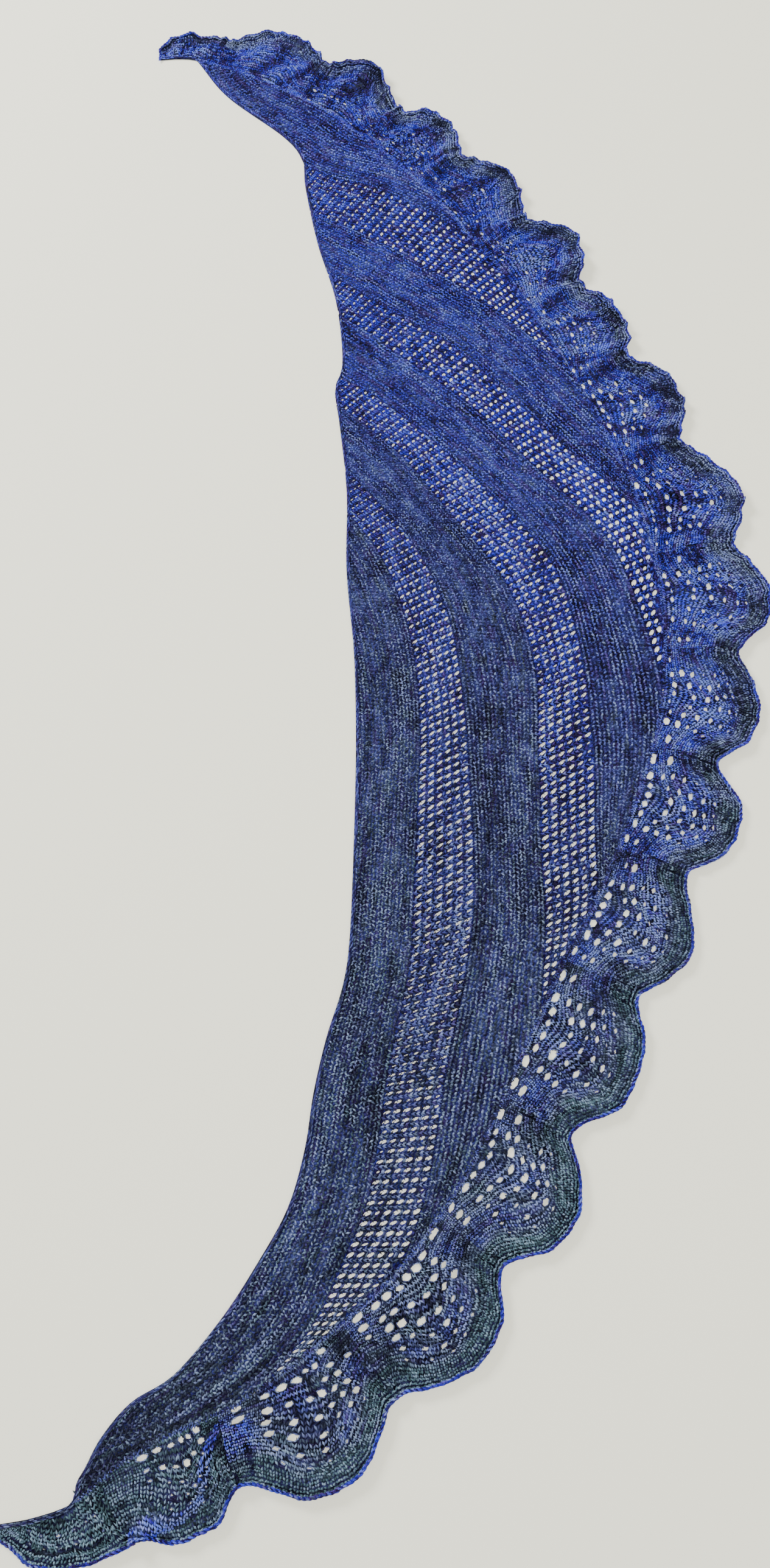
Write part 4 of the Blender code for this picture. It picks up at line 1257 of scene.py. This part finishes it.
def tube(name, path, radius, material):
    """A closed round cord along a path."""
    run, beside, over = path_sides(path)
    turn = np.arange(CORD_SIDES) / CORD_SIDES * 2 * math.pi
    ring = beside[:, None] * np.cos(turn)[None, :, None] + over[:, None] * np.sin(turn)[None, :, None]
    points = (path[:, None] + ring * radius).reshape(-1, 3)
    i, j = np.meshgrid(np.arange(len(path) - 1), np.arange(CORD_SIDES), indexing="ij")
    a, b = i * CORD_SIDES + j, i * CORD_SIDES + (j + 1) % CORD_SIDES
    faces = np.stack((a, b, b + CORD_SIDES, a + CORD_SIDES), -1).reshape(-1, 4).tolist()
    faces.append(list(range(CORD_SIDES))[::-1])
    faces.append([len(points) - CORD_SIDES + k for k in range(CORD_SIDES)])
    mesh = bpy.data.meshes.new(name)
    mesh.from_pydata(points.tolist(), [], faces)
    first = points[faces[0]]
    out = first.mean(0) - path[:2].mean(0)
    if np.dot(np.cross(first[1] - first[0], first[2] - first[0]), out) < 0:
        mesh.flip_normals()
    mesh.shade_smooth()
    number = np.arange(len(points))
    spots = np.stack((number // CORD_SIDES * 1.0, number % CORD_SIDES * 0.5), -1)
    return woven(name, mesh, spots, material)


def evenly(path, pitch):
    """Points a pitch apart along a path."""
    lengths = np.concatenate(([0.0], np.cumsum(np.linalg.norm(np.diff(path, axis=0), axis=1))))
    spots = np.linspace(0, lengths[-1], max(int(round(lengths[-1] / pitch)), 2) + 1)
    return np.stack([np.interp(spots, lengths, path[:, axis]) for axis in range(3)], -1)


edge_wool = yarn_material("bound edge wool", 0.05, 1.3)
edge_loops = loop_tree("loops of the bound edge", edge_wool)
edge_core = cloth_material("bound edge core", 1.0, 0.8)
first_fan = 0

for number, stretch in enumerate(BORDER_STRETCHES, start=1):
    node_name = f"bound_edge_{number}"
    own = fans[first_fan:first_fan + stretch]
    path = np.concatenate([fan.cord_point(np.linspace(-0.995, 0.995, 60)) for fan in own])
    # The cord runs on round the ends of both tips
    end = np.linspace(0.0, 0.9, 12)
    if number == 1:
        path = np.concatenate((own[0].point(np.full(12, -1.0), end) + UP * BOUND_CORE, path))
    if number == len(BORDER_STRETCHES):
        path = np.concatenate((path, own[-1].point(np.ones(12), end[::-1]) + UP * BOUND_CORE))
    core = tube(node_name + "_core", evenly(path, BOUND_STITCH / 2), BOUND_CORE, edge_core)
    path = evenly(path, BOUND_STITCH)
    run, beside, over = path_sides(path)
    groups = []
    n = len(path)
    # Bright and dark patches of the dye, nine stitches long
    patches = through(luck.normal(1.0, 0.55, n // 9 + 3), np.linspace(0, n // 9 + 1, n))
    for side, lift, slant in BOUND_STRANDS:
        spot = path + beside * (side * 0.0009) + over * lift + run * (0.0013 * side)
        groups.append(stitch_set(
            at=spot + luck.normal(0, 0.0001, spot.shape),
            turn=turned(run + beside * slant, over + beside * (0.8 * side)),
            size=(1.1, 1.0, 1.0),
            run=np.arange(n) * BOUND_STITCH + 0.4 * side,
            row=900.0 + side,
            blue=patches,
            pale=0.04 + luck.normal(0, 0.12, n) - 0.12 * (patches < 0.3),
        ))
    stitches = loops(
        node_name + "_loops", edge_loops, groups,
        loop_length=0.0052, yarn_width=0.0017, bow=0.0002, rise=0.0005, bends=4, seed=71 + number,
    )
    stands_for((core, stitches), node_name)
    first_fan += stretch


# Neck selvedge. The first stitch of every row is slipped, which leaves a slim smooth roll
# of long loops along the neck edge, two stitches wide.
SLIPPED_STITCH = 0.0056
SELVEDGE_HEIGHT = 0.0014
SELVEDGE_OUT = 0.0021
SELVEDGE_CORE = 0.0013

line = np.concatenate((
    root_at(np.linspace(0.1 - len(UPPER_TAIL), -0.1, 20)),
    neck_at(np.linspace(0.2, LAST_SECTION, 600)),
    root_at(np.linspace(LAST_SECTION + 0.1, LAST_SECTION + len(LOWER_TAIL) - 0.1, 20)),
))
path = evenly(np.column_stack((line, np.full(len(line), SELVEDGE_HEIGHT))), SLIPPED_STITCH)
path[1:-1] = (path[:-2] + path[1:-1] + path[2:]) / 3
path = path - path_sides(path)[1] * SELVEDGE_OUT
core = tube("neck_selvedge_core", path, SELVEDGE_CORE, plain_back)
run, beside, _ = path_sides(path)
groups = []
n = len(path)
for side in (-1, 0, 1):
    spot = path + beside * (side * 0.0010) + UP * (0.0007 - 0.0004 * abs(side)) + run * (0.0022 * side)
    forward = run + beside * 0.08
    groups.append(stitch_set(
        at=spot + luck.normal(0, 0.00012, spot.shape),
        turn=turned(forward + luck.normal(0, 0.04, spot.shape), UP + beside * 0.6 * side),
        size=(1.25, 0.95, 0.9),
        run=np.arange(n) * SLIPPED_STITCH + 0.7 * side,
        row=950.0 + side,
        blue=0.9 - 0.8 * np.arange(n) / n,
        pale=-0.03 + luck.normal(0, 0.09, n),
    ))
stitches = loops(
    "neck_selvedge_loops", plain_loops, groups,
    loop_length=0.0060, yarn_width=0.0016, bow=0.0002, rise=0.0005, bends=4, seed=91,
)
stands_for((core, stitches))


# The studio: a plain pale floor, soft light from large lamps overhead, and the camera
# above the shawl's foot, looking steeply down along it.
FLOOR_SIDE = 6
FLOOR_LEVEL = -0.0006

mesh = bpy.data.meshes.new("floor")
mesh.from_pydata(
    [(x * FLOOR_SIDE, y * FLOOR_SIDE, FLOOR_LEVEL) for x, y in ((-1, -1), (1, -1), (1, 1), (-1, 1))],
    [], [(0, 1, 2, 3)],
)
paper = bpy.data.materials.new("pale floor")
paper.use_nodes = True
for key, value in (
    ("Base Color", (0.90, 0.89, 0.74, 1.0)), ("Roughness", 0.9),
    ("Emission Color", (1.0, 0.98, 0.78, 1.0)), ("Emission Strength", 0.8),
):
    paper.node_tree.nodes["Principled BSDF"].inputs[key].default_value = value
mesh.materials.append(paper)
in_scene("floor", mesh)

world = bpy.data.worlds.new("studio")
bpy.context.scene.world = world
world.use_nodes = True
world.node_tree.nodes["Background"].inputs["Color"].default_value = (1.0, 1.0, 1.0, 1.0)
world.node_tree.nodes["Background"].inputs["Strength"].default_value = 0.55
for name, place, size, power in (
    ("key lamp", (-2.2, 1.6, 2.0), 1.0, 120.0), ("fill lamp", (1.8, -1.2, 2.6), 2.4, 30.0),
):
    lamp = bpy.data.lights.new(name, "AREA")
    lamp.size = size
    lamp.energy = power
    obj = in_scene(name, lamp)
    obj.location = place
    aim = -np.array(place)
    tilt = math.acos(-aim[2] / np.linalg.norm(aim))
    obj.rotation_euler = (tilt, 0.0, math.atan2(aim[1], aim[0]) - math.pi / 2)

lens = bpy.data.cameras.new("camera")
lens.sensor_fit = "VERTICAL"
lens.sensor_height = 36.0
lens.lens = 26.0
lens.clip_start = 0.01
camera = in_scene("camera", lens)
camera.location = (-0.048, -0.583, 1.08)
camera.rotation_euler = (math.radians(20.0), 0.0, 0.0)
bpy.context.scene.camera = camera
